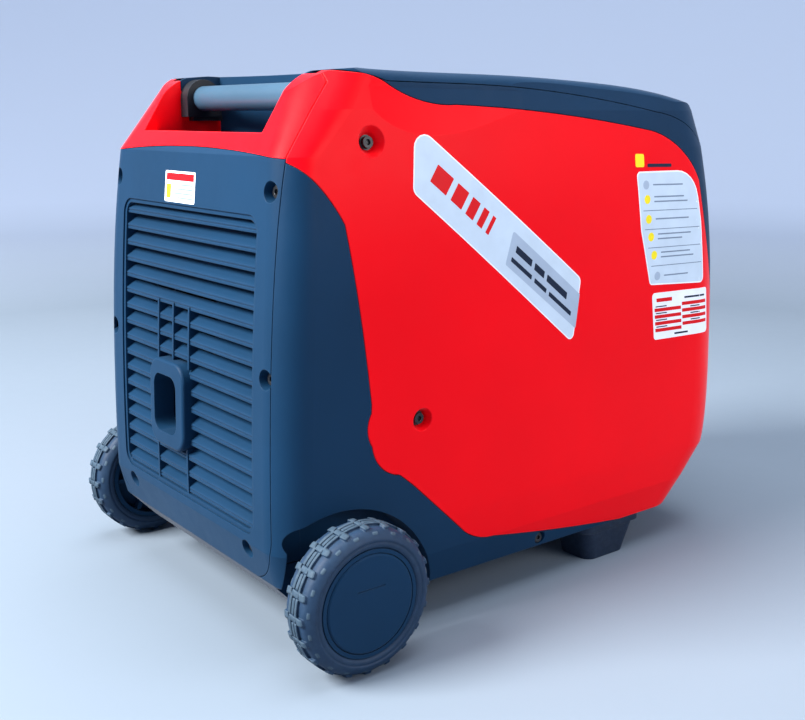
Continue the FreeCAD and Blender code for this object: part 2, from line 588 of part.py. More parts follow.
sockets = []
for y in SOCKET_Y:
    cup = tube((FACE - 20, y, SOCKET_Z), (FACE + 3, y, SOCKET_Z), SOCKET_R + 4, SOCKET_R)
    cup = cup.fuse(rod((FACE - 20, y, SOCKET_Z), (FACE - 16, y, SOCKET_Z), SOCKET_R + 1))
    plate = prism(rounded((y - 27, y + 27), (SOCKET_Z - 27, SOCKET_Z + 27), 5), "x", FACE, FACE + 3)
    cup = cup.fuse(plate).cut(rod((FACE - 16, y, SOCKET_Z), (FACE + 9, y, SOCKET_Z), SOCKET_R))
    for side in (-9.5, 9.5):
        cup = cup.cut(rod((FACE - 21, y + side, SOCKET_Z), (FACE - 10, y + side, SOCKET_Z), 2.4))
    sockets.append(cup.removeSplitter())
    panel = panel.cut(rod((FACE - 10, y, SOCKET_Z), (FACE + 9, y, SOCKET_Z), SOCKET_R + 4.05))
parts["ac_sockets"] = Part.makeCompound(sockets)

# hinged weather flaps over the sockets: lid, two knuckles on a pin that the socket plate carries
HINGE_Z = SOCKET_Z + 31.0
HINGE_X = FACE + 6.0
pins = []
for index, y in enumerate(SOCKET_Y):
    flap_face = rounded((y - 25, y + 25), (SOCKET_Z - 25, HINGE_Z - 4), 5)
    lid_plate = prism(flap_face, "x", FACE + 3.6, FACE + 7.0)
    lip = prism(rounded((y - 9, y + 9), (SOCKET_Z - 30, SOCKET_Z - 24), 2), "x", FACE + 4.2, FACE + 7.0)
    knuckle = rod((HINGE_X, y - 12, HINGE_Z), (HINGE_X, y + 12, HINGE_Z), 3.0)
    strap = block((FACE + 4.4, FACE + 7.0), (y - 12, y + 12), (HINGE_Z - 5, HINGE_Z))
    flap = fuse([lid_plate, lip, knuckle, strap])
    flap = flap.cut(rod((HINGE_X, y - 20, HINGE_Z), (HINGE_X, y + 20, HINGE_Z), 1.3 + RUNNING))
    parts["socket_flap_" + ("left", "right")[index]] = flap.removeSplitter()
    post = [block((FACE, HINGE_X + 2.4), (y + a, y + b), (HINGE_Z - 2.4, HINGE_Z + 2.6))
            for a, b in ((-16.5, -12.5), (12.5, 16.5))]
    pins.append(fuse([rod((HINGE_X, y - 16, HINGE_Z), (HINGE_X, y + 16, HINGE_Z), 1.3)] + post))
parts["flap_hinge_pins"] = Part.makeCompound(pins)

# rotary engine switch, push button, rocker and breaker
collar = on_face(DIAL[0], DIAL[1], 27.0, 0, 1.6).cut(on_face(DIAL[0], DIAL[1], 6.0, -1, 2))
panel = panel.fuse(collar).cut(on_face(DIAL[0], DIAL[1], 4.0 + RUNNING, -9, 9))
dial = [on_face(DIAL[0], DIAL[1], 4.0, -7, 3), on_face(DIAL[0], DIAL[1], 21.0, 1.9, 6)]
dial.append(prism(rounded((DIAL[0] - 5, DIAL[0] + 5), (DIAL[1] - 21, DIAL[1] + 21), 4.5), "x",
                  FACE + 5, FACE + 19))
dial.append(rod((FACE - 7, *DIAL), (FACE - 5, *DIAL), 7.0))
parts["engine_dial"] = fuse(dial)


def push_button(plate, y, z, radius, name):
    """Round push button in its own collar, with a stem through the plate and a keeper behind it."""
    ring = tube((FACE, y, z), (FACE + 4, y, z), radius + 3, radius + 0.4)
    hole = rod((FACE - 9, y, z), (FACE + 1, y, z), radius - 2 + RUNNING)
    stem = rod((FACE - 12, y, z), (FACE + 3.4, y, z), radius - 2)
    head = rod((FACE + 3.3, y, z), (FACE + 7.5, y, z), radius)
    keeper = rod((FACE - 12, y, z), (FACE - 9.5, y, z), radius + 1.5)
    parts[name] = fuse([stem, head, keeper])
    return plate.cut(hole).fuse(ring)


panel = push_button(panel, *BUTTON, 9.0, "start_button")
panel = push_button(panel, *BREAKER, 7.5, "breaker_button")

ROCKER_HALF = (7.0, 11.0)
rocker_frame = prism(rounded((ROCKER[0] - 11, ROCKER[0] + 11), (ROCKER[1] - 15, ROCKER[1] + 15), 3), "x",
                     FACE, FACE + 2.5)
rocker_hole = block((FACE - 9, FACE + 9),
                    (ROCKER[0] - ROCKER_HALF[0] - 0.6, ROCKER[0] + ROCKER_HALF[0] + 0.6),
                    (ROCKER[1] - ROCKER_HALF[1] - 0.9, ROCKER[1] + ROCKER_HALF[1] + 0.9))
panel = panel.fuse(rocker_frame).cut(rocker_hole)
ROCKER_AXIS_X = FACE - 1.5
rocker_side = [(FACE - 4, ROCKER[1] - 8), (FACE - 4, ROCKER[1] + 8), (FACE + 5.6, ROCKER[1] + 10.2),
               (FACE + 3.4, ROCKER[1], FACE + 5.6, ROCKER[1] - 10.2)]
rocker = prism(rocker_side, "y", ROCKER[0] - ROCKER_HALF[0], ROCKER[0] + ROCKER_HALF[0])
pivot = rod((ROCKER_AXIS_X, ROCKER[0] - 9.2, ROCKER[1]), (ROCKER_AXIS_X, ROCKER[0] + 9.2, ROCKER[1]), 1.4)
parts["eco_rocker"] = rocker.fuse(pivot).removeSplitter()
pivot_hole = rod((ROCKER_AXIS_X, ROCKER[0] - 9.6, ROCKER[1]),
                 (ROCKER_AXIS_X, ROCKER[0] + 9.6, ROCKER[1]), 1.4 + RUNNING)
panel = panel.cut(pivot_hole)

display = prism(rounded(*DISPLAY, 5), "x", FACE, FACE + 2.6)
display_rim = [edge for edge in display.Edges if edge.BoundBox.XMin > FACE + 2]
parts["display"] = display.makeFillet(0.8, display_rim)

ports = [prism(rounded(PORTS_Y, PORTS_Z, 4), "x", FACE, FACE + 3)]
ports.append(on_face(-78, 195, 8.5, 0, 4.5))
port_block = fuse(ports).cut(on_face(-78, 195, 5.5, 0.8, 6))
for y in (-54, -36):
    port_block = port_block.cut(block((FACE + 0.8, FACE + 5), (y - 6.2, y + 6.2), (192, 198)))
parts["service_ports"] = port_block.removeSplitter()

lamps = []
for y, z in LAMPS:
    lamps.append(on_face(y, z, 2.6, 0, 1.2).fuse(Part.makeSphere(2.6, V(FACE + 1.2, y, z))).cut(
        block((FACE - 5, FACE), (y - 5, y + 5), (z - 5, z + 5))).removeSplitter())
parts["indicator_lamps"] = Part.makeCompound(lamps)

EARTH_R = 4.0
EARTH_REACH = 20.0
stud = on_face(*EARTH, EARTH_R, -8, EARTH_REACH)
panel = panel.cut(on_face(*EARTH, EARTH_R + 0.02, -9, 2))
NUT_R = 7.5
nut_side = [(EARTH[0] + NUT_R * math.cos(math.radians(60 * k)),
             EARTH[1] + NUT_R * math.sin(math.radians(60 * k))) for k in range(6)]
earth_nut = prism(nut_side, "x", FACE + 0.05, FACE + 6)
washer = on_face(*EARTH, 9.0, 6.0, 7.2)
parts["earth_terminal"] = fuse([stud, earth_nut, washer])
parts["control_panel"] = panel.removeSplitter()

# ---------------------------------------------------------------- engine
AXIS_Y = 0.0
ENGINE_X = -10.0             # cylinder axis along the crankshaft
CASE_X = (-68.0, 46.0)


def along_crank(points):
    return turned(points, (0, AXIS_Y, CRANK_Z), (1, 0, 0))


def tilted(shape):
    """Lean a piece built upright over the crankshaft to the cylinder's angle."""
    shape.rotate(V(0, AXIS_Y, CRANK_Z), V(1, 0, 0), -CYLINDER_TILT)
    return shape


MOUNT_SPOTS = [(x, y) for x in (-88, 42) for y in (-62, 62)]
base_plate = prism(rounded((-108, 58), (-86, 86), 12), "z", 66, 69)
for y in (-86, 83):
    base_plate = base_plate.fuse(block((-96, 46), (y, y + 3), (67, 80)))
parts["engine_base"] = base_plate.removeSplitter()
mounts = [tube((x, y, BASE_Z + WALL), (x, y, 66), 13, 5).fuse(tube((x, y, 50), (x, y, 58), 15, 5))
          for x, y in MOUNT_SPOTS]
parts["engine_mounts"] = Part.makeCompound([mount.removeSplitter() for mount in mounts])

case = soft_block(CASE_X, (-66, 66), (82, 212), 14).fuse(
    [block((-60, 38), (-60, -48), (69, 90)), block((-60, 38), (48, 60), (69, 90))])
case = case.fuse(tilted(rod((ENGINE_X, 0, CRANK_Z + 40), (ENGINE_X, 0, CRANK_Z + 74), 46)))
case = case.cut(tilted(block((-75, 60), (-60, 60), (CRANK_Z + 74, CRANK_Z + 200))))
case = case.fuse(rod((CASE_X[1] - 2, 0, CRANK_Z), (CASE_X[1] + 14, 0, CRANK_Z), 26))
SHAFT_R = 12.5
case = case.cut(rod((CASE_X[0] + 8, 0, CRANK_Z), (CASE_X[1] + 20, 0, CRANK_Z), SHAFT_R + RUNNING))
case = case.cut(soft_block((CASE_X[0] + 8, CASE_X[1] - 8), (-58, 58), (90, 204), 8))
case = case.cut(tilted(rod((ENGINE_X, 0, CRANK_Z + 30), (ENGINE_X, 0, CRANK_Z + 80), 36)))
parts["crankcase"] = case.removeSplitter()


def finned(low, high, core, width, depth, fins, bore):
    """Cylinder barrel or head: a core with square cooling fins round it."""
    pieces = [rod((ENGINE_X, 0, CRANK_Z + low), (ENGINE_X, 0, CRANK_Z + high), core)]
    step = (high - low - 3.0) / (fins - 1)
    for k in range(fins):
        z = CRANK_Z + low + k * step
        fin = rounded((ENGINE_X - depth, ENGINE_X + depth), (-width, width), 8)
        pieces.append(prism(fin, "z", z, z + 3))
    body = fuse(pieces)
    if bore:
        body = body.cut(rod((ENGINE_X, 0, CRANK_Z + low - 1), (ENGINE_X, 0, CRANK_Z + high + 1), bore))
    return tilted(body)


parts["cylinder"] = finned(74.2, 132, 43, 50, 52, 7, 35)
parts["cylinder_head"] = finned(132.2, 164, 40, 46, 50, 4, 0)
rocker_cover = soft_block((ENGINE_X - 38, ENGINE_X + 38), (-32, 32), (CRANK_Z + 164.2, CRANK_Z + 188), 7)
parts["rocker_cover"] = tilted(rocker_cover)

# piston end of the crank: two webs and a pin, turning with the shaft
SHAFT_END = 152.0
crank = rod((CASE_X[0] + 10, 0, CRANK_Z), (SHAFT_END, 0, CRANK_Z), SHAFT_R)
webs = [rod((x, 0, CRANK_Z), (x + 9, 0, CRANK_Z), 34) for x in (ENGINE_X - 21, ENGINE_X + 12)]
crank_gap = block((ENGINE_X - 12, ENGINE_X + 12), (-20, 20), (CRANK_Z - 20, CRANK_Z + 20))
crank_pin = rod((ENGINE_X - 15, 0, CRANK_Z + 22), (ENGINE_X + 15, 0, CRANK_Z + 22), 11)
parts["crankshaft"] = fuse([crank.cut(crank_gap)] + webs + [crank_pin])

ROTOR_X = (68.0, 116.0)
rotor = along_crank([(74, ROTOR_X[0]), (82, ROTOR_X[0]), (82, ROTOR_X[1]), (20, ROTOR_X[1]),
                     (SHAFT_R + 0.02, ROTOR_X[1] + 2), (SHAFT_R + 0.02, ROTOR_X[1] - 8),
                     (20, ROTOR_X[1] - 6), (74, ROTOR_X[1] - 5)])
parts["alternator_rotor"] = rotor
fan_blades = []
for k in range(14):
    blade = block((120, 142), (44, 84), (CRANK_Z - 1.2, CRANK_Z + 1.2))
    blade.rotate(V(0, 64, CRANK_Z), V(1, 0, 0), 28)
    blade.rotate(V(0, 0, CRANK_Z), V(1, 0, 0), k * 360 / 14)
    fan_blades.append(blade)
fan = along_crank([(SHAFT_R + 0.02, 118.2), (88, 118.2), (88, 121), (40, 121),
                   (26, 132), (SHAFT_R + 0.02, 132)])
parts["cooling_fan"] = fuse([fan] + fan_blades)

stator = along_crank([(27, CASE_X[1] + 0.2), (34, CASE_X[1] + 0.2), (34, 72),
                      (42, 72), (42, 102), (27, 102)])
poles = []
for k in range(18):
    pole = block((73, 101), (40, 70), (CRANK_Z - 3.4, CRANK_Z + 3.4))
    pole = pole.fuse(block((75, 99), (46, 66), (CRANK_Z - 5.2, CRANK_Z + 5.2)))
    pole.rotate(V(0, 0, CRANK_Z), V(1, 0, 0), 20 * k)
    poles.append(pole)
parts["stator"] = fuse([stator] + poles)

SHROUD_R = 96.0
shroud = along_crank([(SHROUD_R - 3, 60), (SHROUD_R, 60), (SHROUD_R, 152), (58, 152), (58, 149),
                      (SHROUD_R - 3, 149)])
shroud_foot = [block((100, 140), (y, y + 12), (BASE_Z + WALL, 70)) for y in (-52, 40)]
shroud_bore = along_crank([(0, 58), (SHROUD_R - 3, 58), (SHROUD_R - 3, 149), (0, 149)])
shroud = shroud.fuse(shroud_foot).cut(shroud_bore)
parts["fan_shroud"] = shroud.removeSplitter()

# recoil starter: housing, pulley, and the cord with its grip
PULLEY_X = GRIP_X
PULLEY_BORE = 7 + RUNNING
PULLEY_GROOVE = 38.5
PULLEY_R = 54.0
CORD_R = 1.6
CORD_START = -140.0          # inner end of the stored cord
housing = along_crank([(58, 152.3), (66, 152.3), (66, 186), (5, 186),
                       (5, 183), (63, 183), (63, 156), (58, 156)])
housing = housing.fuse(along_crank([(0, 158), (7, 158), (7, 186), (0, 186)]))
housing = housing.cut(block((PULLEY_X - 4, PULLEY_X + 4), (-80, 80), (GRIP_Z - 4, GRIP_Z + 4)))
parts["recoil_housing"] = housing.removeSplitter()
parts["recoil_pulley"] = along_crank([(PULLEY_BORE, PULLEY_X - 8), (PULLEY_R, PULLEY_X - 8),
                                      (PULLEY_R, PULLEY_X - 3), (PULLEY_GROOVE, PULLEY_X - 3),
                                      (PULLEY_GROOVE, PULLEY_X + 3), (PULLEY_R, PULLEY_X + 3),
                                      (PULLEY_R, PULLEY_X + 8), (PULLEY_BORE, PULLEY_X + 8)])
GRIP_Y = (158.0, 172.0)
grip = soft_block((GRIP_X - 42, GRIP_X + 36), GRIP_Y, (GRIP_Z - 11, GRIP_Z + 11), 5)
stalk = rod((GRIP_X, GRIP_FLOOR + 0.6, GRIP_Z), (GRIP_X, GRIP_Y[0] + 3, GRIP_Z), 7, 9)
parts["recoil_grip"] = grip.fuse(stalk).cut(
    rod((GRIP_X, 140, GRIP_Z), (GRIP_X, GRIP_Y[0] + 1, GRIP_Z), CORD_R)).removeSplitter()
parts["recoil_cord"] = rod((GRIP_X, CORD_START, GRIP_Z), (GRIP_X, GRIP_Y[0] + 1, GRIP_Z), CORD_R)

# fuel side
TANK_Z = (350.0, 446.0)
tank = soft_block((-130, 205), (-118, 118), TANK_Z, 16)
tank = tank.cut(soft_block((-127, 202), (-115, 115), (TANK_Z[0] + 3, TANK_Z[1] - 3), 13))
neck_top = 474.0
tank = tank.fuse(rod((CAP_X, CAP_Y, TANK_Z[1] - 3), (CAP_X, CAP_Y, neck_top), NECK_R))
tank = tank.cut(rod((CAP_X, CAP_Y, TANK_Z[1] - 5), (CAP_X, CAP_Y, neck_top + 1), NECK_R - 3))
parts["fuel_tank"] = tank.removeSplitter()
cap_side = [(0, 474.6), (33, 474.6), (33, CAP_TOP - 4), (30, CAP_TOP), (0, CAP_TOP)]
skirt_side = [(NECK_R + 0.5, 468.5), (33, 468.5), (33, 476), (NECK_R + 0.5, 476)]
fuel_cap = turned(cap_side, (CAP_X, CAP_Y, 0), (0, 0, 1))
skirt = turned(skirt_side, (CAP_X, CAP_Y, 0), (0, 0, 1))
flutes = []
for k in range(12):
    flute = rod((CAP_X + 35.2, CAP_Y, 466), (CAP_X + 35.2, CAP_Y, CAP_TOP - 3), 4)
    flute.rotate(V(CAP_X, CAP_Y, 0), V(0, 0, 1), 30 * k)
    flutes.append(flute)
vent = rod((CAP_X, CAP_Y, CAP_TOP - 1), (CAP_X, CAP_Y, CAP_TOP + 3), 8)
vent = vent.fuse(block((CAP_X, CAP_X + 20), (CAP_Y - 3, CAP_Y + 3), (CAP_TOP - 1, CAP_TOP + 2.5)))
parts["fuel_cap"] = fuse([fuel_cap, skirt]).cut(Part.makeCompound(flutes)).fuse(vent).removeSplitter()

# intake
carb_from, carb_to = (ENGINE_X, 64, 305), (ENGINE_X, 31, 320)
carb = rod(carb_from, carb_to, 15).fuse(rod((ENGINE_X, 44, 296), (ENGINE_X, 44, 316), 15))
parts["carburettor"] = carb.cut(rod((ENGINE_X, 70, 302.4), (ENGINE_X, 10, 329), 9)).removeSplitter()
cleaner = soft_block((-66, 46), (-112, 22), (262, 344), 12)
parts["air_cleaner"] = cleaner.cut(soft_block((-63, 43), (-109, 19), (265, 341), 9))

# exhaust side
MUFFLER_X = (-222.0, -110.0)
muffler = prism(rounded((-62, 78), (140, 258), 40), "x", *MUFFLER_X)
OUTLET_Y, OUTLET_Z = 24.0, 194.0
tail = (-266, OUTLET_Y, OUTLET_Z), (MUFFLER_X[0] + 1, OUTLET_Y, OUTLET_Z)
muffler = muffler.fuse(rod(*tail, 15))
muffler = muffler.cut(prism(rounded((-59, 75), (143, 255), 37), "x", MUFFLER_X[0] + 3, MUFFLER_X[1] - 3))
tail_bore = rod((-270, OUTLET_Y, OUTLET_Z), (MUFFLER_X[0] + 5, OUTLET_Y, OUTLET_Z), 12.5)
parts["muffler"] = muffler.cut(tail_bore)
HEAD_PORT = (ENGINE_X - 50.2, 95.0, 263.0)
PIPE_BEND = (ENGINE_X - 72.0, 95.0, 263.0)
MUFFLER_PORT = (MUFFLER_X[1] + 3.0, 52.0, 222.0)


def header(radius):
    """The bent pipe from the cylinder head to the muffler, at one radius."""
    return fuse([rod(HEAD_PORT, PIPE_BEND, radius), Part.makeSphere(radius, V(*PIPE_BEND)),
                 rod(PIPE_BEND, MUFFLER_PORT, radius)])


parts["exhaust_pipe"] = header(12.0).cut(header(9.5)).cut(block((-200, MUFFLER_X[1]), (0, 100), (150, 300)))

# electrics
fins = [block((-58 + 10 * k, -55 + 10 * k), (-166, -141), (96, 246)) for k in range(20)]
module = fuse([block((-60, 140), (-142, -122), (92, 250))] + fins)
parts["inverter_module"] = module
parts["battery"] = soft_block((189, 226), (-118, -50), (54.2, 134), 3).fuse(
    [rod((208, y, 132), (208, y, 142), 6) for y in (-102, -66)]).removeSplitter()

# ---------------------------------------------------------------- screws
screws += [mirror(screw) for screw in left_screws]
parts["casing_screws"] = Part.makeCompound(screws)

# the drawing above is centred on the casing; the wheels stand proud of its exhaust end, so the
# finished pieces move forward to put the origin under the centre of the whole object
FORWARD = V((WHEEL_R - WHEEL_X - HALF_LENGTH) / 2, 0, 0)
os.makedirs("parts", exist_ok=True)
for name, shape in parts.items():
    shape.translate(FORWARD)
    shape.exportStep("parts/" + name + ".step")
print(len(parts), "nodes")
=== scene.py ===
import json
import math

import bpy
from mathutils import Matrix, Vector
from mathutils.bvhtree import BVHTree
from mathutils.geometry import delaunay_2d_cdt


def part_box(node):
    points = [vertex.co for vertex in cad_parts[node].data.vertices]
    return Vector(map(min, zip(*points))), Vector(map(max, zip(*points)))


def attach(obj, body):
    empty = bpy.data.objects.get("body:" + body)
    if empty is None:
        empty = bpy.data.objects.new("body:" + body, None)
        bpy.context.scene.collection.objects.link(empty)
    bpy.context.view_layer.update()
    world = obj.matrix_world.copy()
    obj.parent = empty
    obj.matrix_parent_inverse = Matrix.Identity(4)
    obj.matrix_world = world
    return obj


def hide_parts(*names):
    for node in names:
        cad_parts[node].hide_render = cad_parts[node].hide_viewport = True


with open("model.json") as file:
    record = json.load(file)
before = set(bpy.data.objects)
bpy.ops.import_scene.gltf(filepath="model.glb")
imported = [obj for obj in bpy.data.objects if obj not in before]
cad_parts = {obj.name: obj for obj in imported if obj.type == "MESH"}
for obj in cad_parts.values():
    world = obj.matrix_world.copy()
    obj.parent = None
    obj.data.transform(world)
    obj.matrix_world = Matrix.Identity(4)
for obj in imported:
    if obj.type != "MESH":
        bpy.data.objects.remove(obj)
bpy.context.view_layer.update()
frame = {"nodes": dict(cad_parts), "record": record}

MM = 0.001
NODES = frame["nodes"]
SLOT_OF = {part["node"]: part["material_slot"] for part in frame["record"]["subparts"]}


def middle(node):
    low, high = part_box(node)
    return (low + high) / 2


WHEEL_CENTRE = middle("axle")
CASING_X = WHEEL_CENTRE.x + 241.7 * MM        # centre of the casing, along its length


# ---------------------------------------------------------------- materials
def linear(red, green, blue):
    """Linear colour from sRGB values of 0 to 255."""
    def one(value):
        value /= 255
        return value / 12.92 if value <= 0.04045 else ((value + 0.055) / 1.055) ** 2.4
    return (one(red), one(green), one(blue), 1.0)


def scaled(colour, factor):
    return tuple(min(1.0, channel * factor) for channel in colour[:3]) + (1.0,)


class Graph:
    """A material's node tree, with short calls for the nodes that the surfaces share."""

    def __init__(self, name):
        self.material = bpy.data.materials.new(name)
        self.material.use_nodes = True
        self.tree = self.material.node_tree
        self.tree.nodes.clear()
        self.output = self.tree.nodes.new("ShaderNodeOutputMaterial")
        self.place = self.add("ShaderNodeTexCoord").outputs["Object"]

    def add(self, kind, inputs=None, **attributes):
        node = self.tree.nodes.new(kind)
        for key, value in attributes.items():
            setattr(node, key, value)
        for key, value in (inputs or {}).items():
            self.put(node.inputs[key], value)
        return node

    def put(self, socket, value):
        if isinstance(value, bpy.types.NodeSocket):
            self.tree.links.new(value, socket)
        else:
            socket.default_value = value

    def noise(self, scale, detail=2.0, roughness=0.5, place=None):
        inputs = {"Vector": place or self.place, "Scale": scale, "Detail": detail, "Roughness": roughness}
        return self.add("ShaderNodeTexNoise", inputs).outputs["Fac"]

    def stretched(self, scale):
        return self.add("ShaderNodeMapping", {"Vector": self.place, "Scale": scale}).outputs["Vector"]

    def ramp(self, value, low, high, to_low=0.0, to_high=1.0):
        made = self.add("ShaderNodeMapRange", {"Value": value, "From Min": low, "From Max": high,
                                               "To Min": to_low, "To Max": to_high})
        return made.outputs["Result"]

    def maths(self, operation, first, second=0.0):
        made = self.add("ShaderNodeMath", {0: first, 1: second}, operation=operation, use_clamp=False)
        return made.outputs[0]

    def mix(self, factor, first, second):
        made = self.add("ShaderNodeMix", {0: factor, 6: first, 7: second}, data_type="RGBA")
        return made.outputs[2]

    def edges(self, radius):
        """The softened normal, and how far it turns from the flat one: high along edges."""
        soft = self.add("ShaderNodeBevel", {"Radius": radius}, samples=4).outputs["Normal"]
        flat = self.add("ShaderNodeNewGeometry").outputs["Normal"]
        turn = self.add("ShaderNodeVectorMath", {0: soft, 1: flat}, operation="DOT_PRODUCT").outputs["Value"]
        return soft, self.ramp(turn, 0.995, 0.86)

    def bump(self, height, distance, strength, normal=None):
        inputs = {"Height": height, "Distance": distance, "Strength": strength}
        if normal is not None:
            inputs["Normal"] = normal
        return self.add("ShaderNodeBump", inputs).outputs["Normal"]

    def finish(self, **inputs):
        named = {key.replace("_", " "): value for key, value in inputs.items()}
        shader = self.add("ShaderNodeBsdfPrincipled", named)
        self.put(self.output.inputs["Surface"], shader.outputs["BSDF"])
        return self.material


def moulded(name, colour, roughness, worn, grain=0.00055, relief=0.00003, specular=0.3, coat=0.0, wear=0.35,
            soft=0.0009, cloud=0.10, dusty=0.10, sheen=0.0, inside_shade_colour=None):
    """Injection-moulded plastic: fine moulded grain, soft edges, slight colour drift, rubbed edges and dust.

    With an inside colour given, faces turned towards the middle of the casing are painted that dark colour as
    painted shade.
    """
    g = Graph(name)
    soft_normal, edge = g.edges(soft)
    drift = g.noise(7.0, 3.0)
    blotch = g.noise(46.0, 4.0, 0.6)
    tone = g.mix(g.ramp(drift, 0.3, 0.7), scaled(colour, 1 - cloud), scaled(colour, 1 + cloud))
    rubbed = g.maths("MULTIPLY", edge, g.ramp(g.noise(90.0, 5.0, 0.65), 0.42, 0.72, 0.12, 1.0))
    tone = g.mix(g.maths("MULTIPLY", rubbed, wear), tone, worn)
    dust = g.ramp(g.noise(520.0, 3.0, 0.7), 0.70, 0.80, 0.0, dusty)
    tone = g.mix(dust, tone, worn)
    # painted shade: faces turned towards the middle of the casing take the dark inside colour
    if inside_shade_colour is not None:
        normal = g.add("ShaderNodeNewGeometry").outputs["Normal"]
        across = g.add("ShaderNodeSeparateXYZ", {"Vector": g.place}).outputs["Y"]
        facing = g.add("ShaderNodeSeparateXYZ", {"Vector": normal}).outputs["Y"]
        outwards = g.maths("MULTIPLY", g.maths("SIGN", across), facing)
        inside_shade_tone = g.mix(g.ramp(g.noise(900.0, 4.0, 0.7), 0.3, 0.7), scaled(inside_shade_colour, 0.6), scaled(inside_shade_colour, 1.5))
        tone = g.mix(g.ramp(outwards, -0.45, -0.35, 1.0, 0.0), tone, inside_shade_tone)
    cell = g.add("ShaderNodeTexVoronoi", {"Vector": g.place, "Scale": 1 / grain}).outputs["Distance"]
    height = g.maths("ADD", cell, g.maths("MULTIPLY", g.noise(0.35 / grain, 2.0), 0.6))
    rough = g.maths("ADD", g.ramp(blotch, 0.3, 0.7, roughness - 0.045, roughness + 0.045),
                    g.maths("MULTIPLY", rubbed, -0.06))
    return g.finish(Base_Color=tone, Roughness=rough, Specular_IOR_Level=specular, Coat_Weight=coat,
                    Coat_Roughness=0.16, Sheen_Weight=sheen, Sheen_Roughness=0.35,
                    Normal=g.bump(height, relief, 0.55, soft_normal))


def rubbery(name, colour, worn, roughness=0.72, dusting=0.3):
    """Vulcanised rubber: matt, mottled, paler where it is rubbed, with a faint dust bloom."""
    g = Graph(name)
    soft_normal, edge = g.edges(0.0012)
    mottled = g.noise(30.0, 5.0, 0.65)
    tone = g.mix(g.ramp(mottled, 0.3, 0.7), scaled(colour, 0.84), scaled(colour, 1.16))
    bloom = g.ramp(g.noise(170.0, 5.0, 0.7), 0.45, 0.75, 0.0, dusting)
    tone = g.mix(bloom, tone, worn)
    tone = g.mix(g.maths("MULTIPLY", edge, 0.3), tone, worn)
    height = g.maths("ADD", g.noise(1500.0, 3.0, 0.6), g.maths("MULTIPLY", g.noise(260.0, 3.0), 0.7))
    return g.finish(Base_Color=tone, Roughness=g.ramp(mottled, 0.3, 0.7, roughness - 0.06, roughness + 0.08),
                    Specular_IOR_Level=0.3, Normal=g.bump(height, 0.00006, 0.6, soft_normal))


def metal(name, colour, roughness, metallic=1.0, brushed=None, tarnish=0.18, casting=0.0):
    """Bare or plated metal: brushed or cast relief, uneven roughness and slight tarnish."""
    g = Graph(name)
    soft_normal, edge = g.edges(0.0006)
    grain = g.noise(1.0, 4.0, 0.6, g.stretched(brushed or (800.0, 800.0, 800.0)))
    stain = g.noise(26.0, 5.0, 0.6)
    tone = g.mix(g.ramp(stain, 0.35, 0.72, 0.0, tarnish), colour, scaled(colour, 0.45))
    # painted edge highlight: lighter along every edge
    tone = g.mix(g.maths("MULTIPLY", edge, 0.5), tone, scaled(colour, 1.25))
    height = g.maths("ADD", grain, g.maths("MULTIPLY", g.noise(700.0, 4.0, 0.7), casting))
    rough = g.maths("ADD", g.ramp(grain, 0.3, 0.7, roughness - 0.07, roughness + 0.07),
                    g.ramp(stain, 0.4, 0.8, 0.0, 0.12))
    return g.finish(Base_Color=tone, Metallic=metallic, Roughness=rough,
                    Normal=g.bump(height, 0.00004, 0.5, soft_normal))


def painted_steel(name, colour, roughness, bare):
    """Satin paint on sheet steel, with orange peel and bare metal at the sharpest edges."""
    g = Graph(name)
    soft_normal, edge = g.edges(0.0005)
    peel = g.noise(420.0, 2.0)
    chips = g.maths("MULTIPLY", edge, g.ramp(g.noise(240.0, 5.0, 0.7), 0.52, 0.6))
    tone = g.mix(g.ramp(g.noise(18.0, 3.0), 0.3, 0.7), scaled(colour, 0.85), scaled(colour, 1.2))
    tone = g.mix(g.maths("MULTIPLY", chips, 0.7), tone, bare)
    rough = g.ramp(g.noise(60.0, 4.0), 0.3, 0.7, roughness - 0.06, roughness + 0.08)
    return g.finish(Base_Color=tone, Metallic=g.maths("MULTIPLY", chips, 0.6), Roughness=rough,
                    Specular_IOR_Level=0.45, Normal=g.bump(peel, 0.00005, 0.3, soft_normal))


def printed(name, colour, roughness=0.42):
    """Vinyl sticker or printed ink: even colour with a faint mottle, orange peel and dust specks."""
    g = Graph(name)
    mottled = g.noise(60.0, 3.0)
    tone = g.mix(g.ramp(mottled, 0.3, 0.7), scaled(colour, 0.95), scaled(colour, 1.03))
    specks = g.ramp(g.noise(420.0, 4.0, 0.7), 0.7, 0.8, 0.0, 0.25)
    tone = g.mix(specks, tone, scaled(colour, 0.7))
    return g.finish(Base_Color=tone, Roughness=g.ramp(mottled, 0.3, 0.7, roughness - 0.05, roughness + 0.06),
                    Specular_IOR_Level=0.12, Normal=g.bump(g.noise(300.0, 2.0), 0.00004, 0.25))


def glass_window(name, colour):
    """Smoked clear window over the display."""
    g = Graph(name)
    soft_normal, edge = g.edges(0.0006)
    smear = g.noise(35.0, 4.0, 0.6)
    tone = g.mix(g.ramp(smear, 0.3, 0.7), scaled(colour, 0.85), scaled(colour, 1.2))
    # painted edge highlight: pale grey along the edges
    tone = g.mix(g.maths("MULTIPLY", edge, 0.3), tone, linear(120, 135, 140))
    return g.finish(Base_Color=tone, Roughness=g.ramp(smear, 0.35, 0.75, 0.05, 0.16), Specular_IOR_Level=0.5,
                    Coat_Weight=0.6, Coat_Roughness=0.05, Normal=soft_normal)


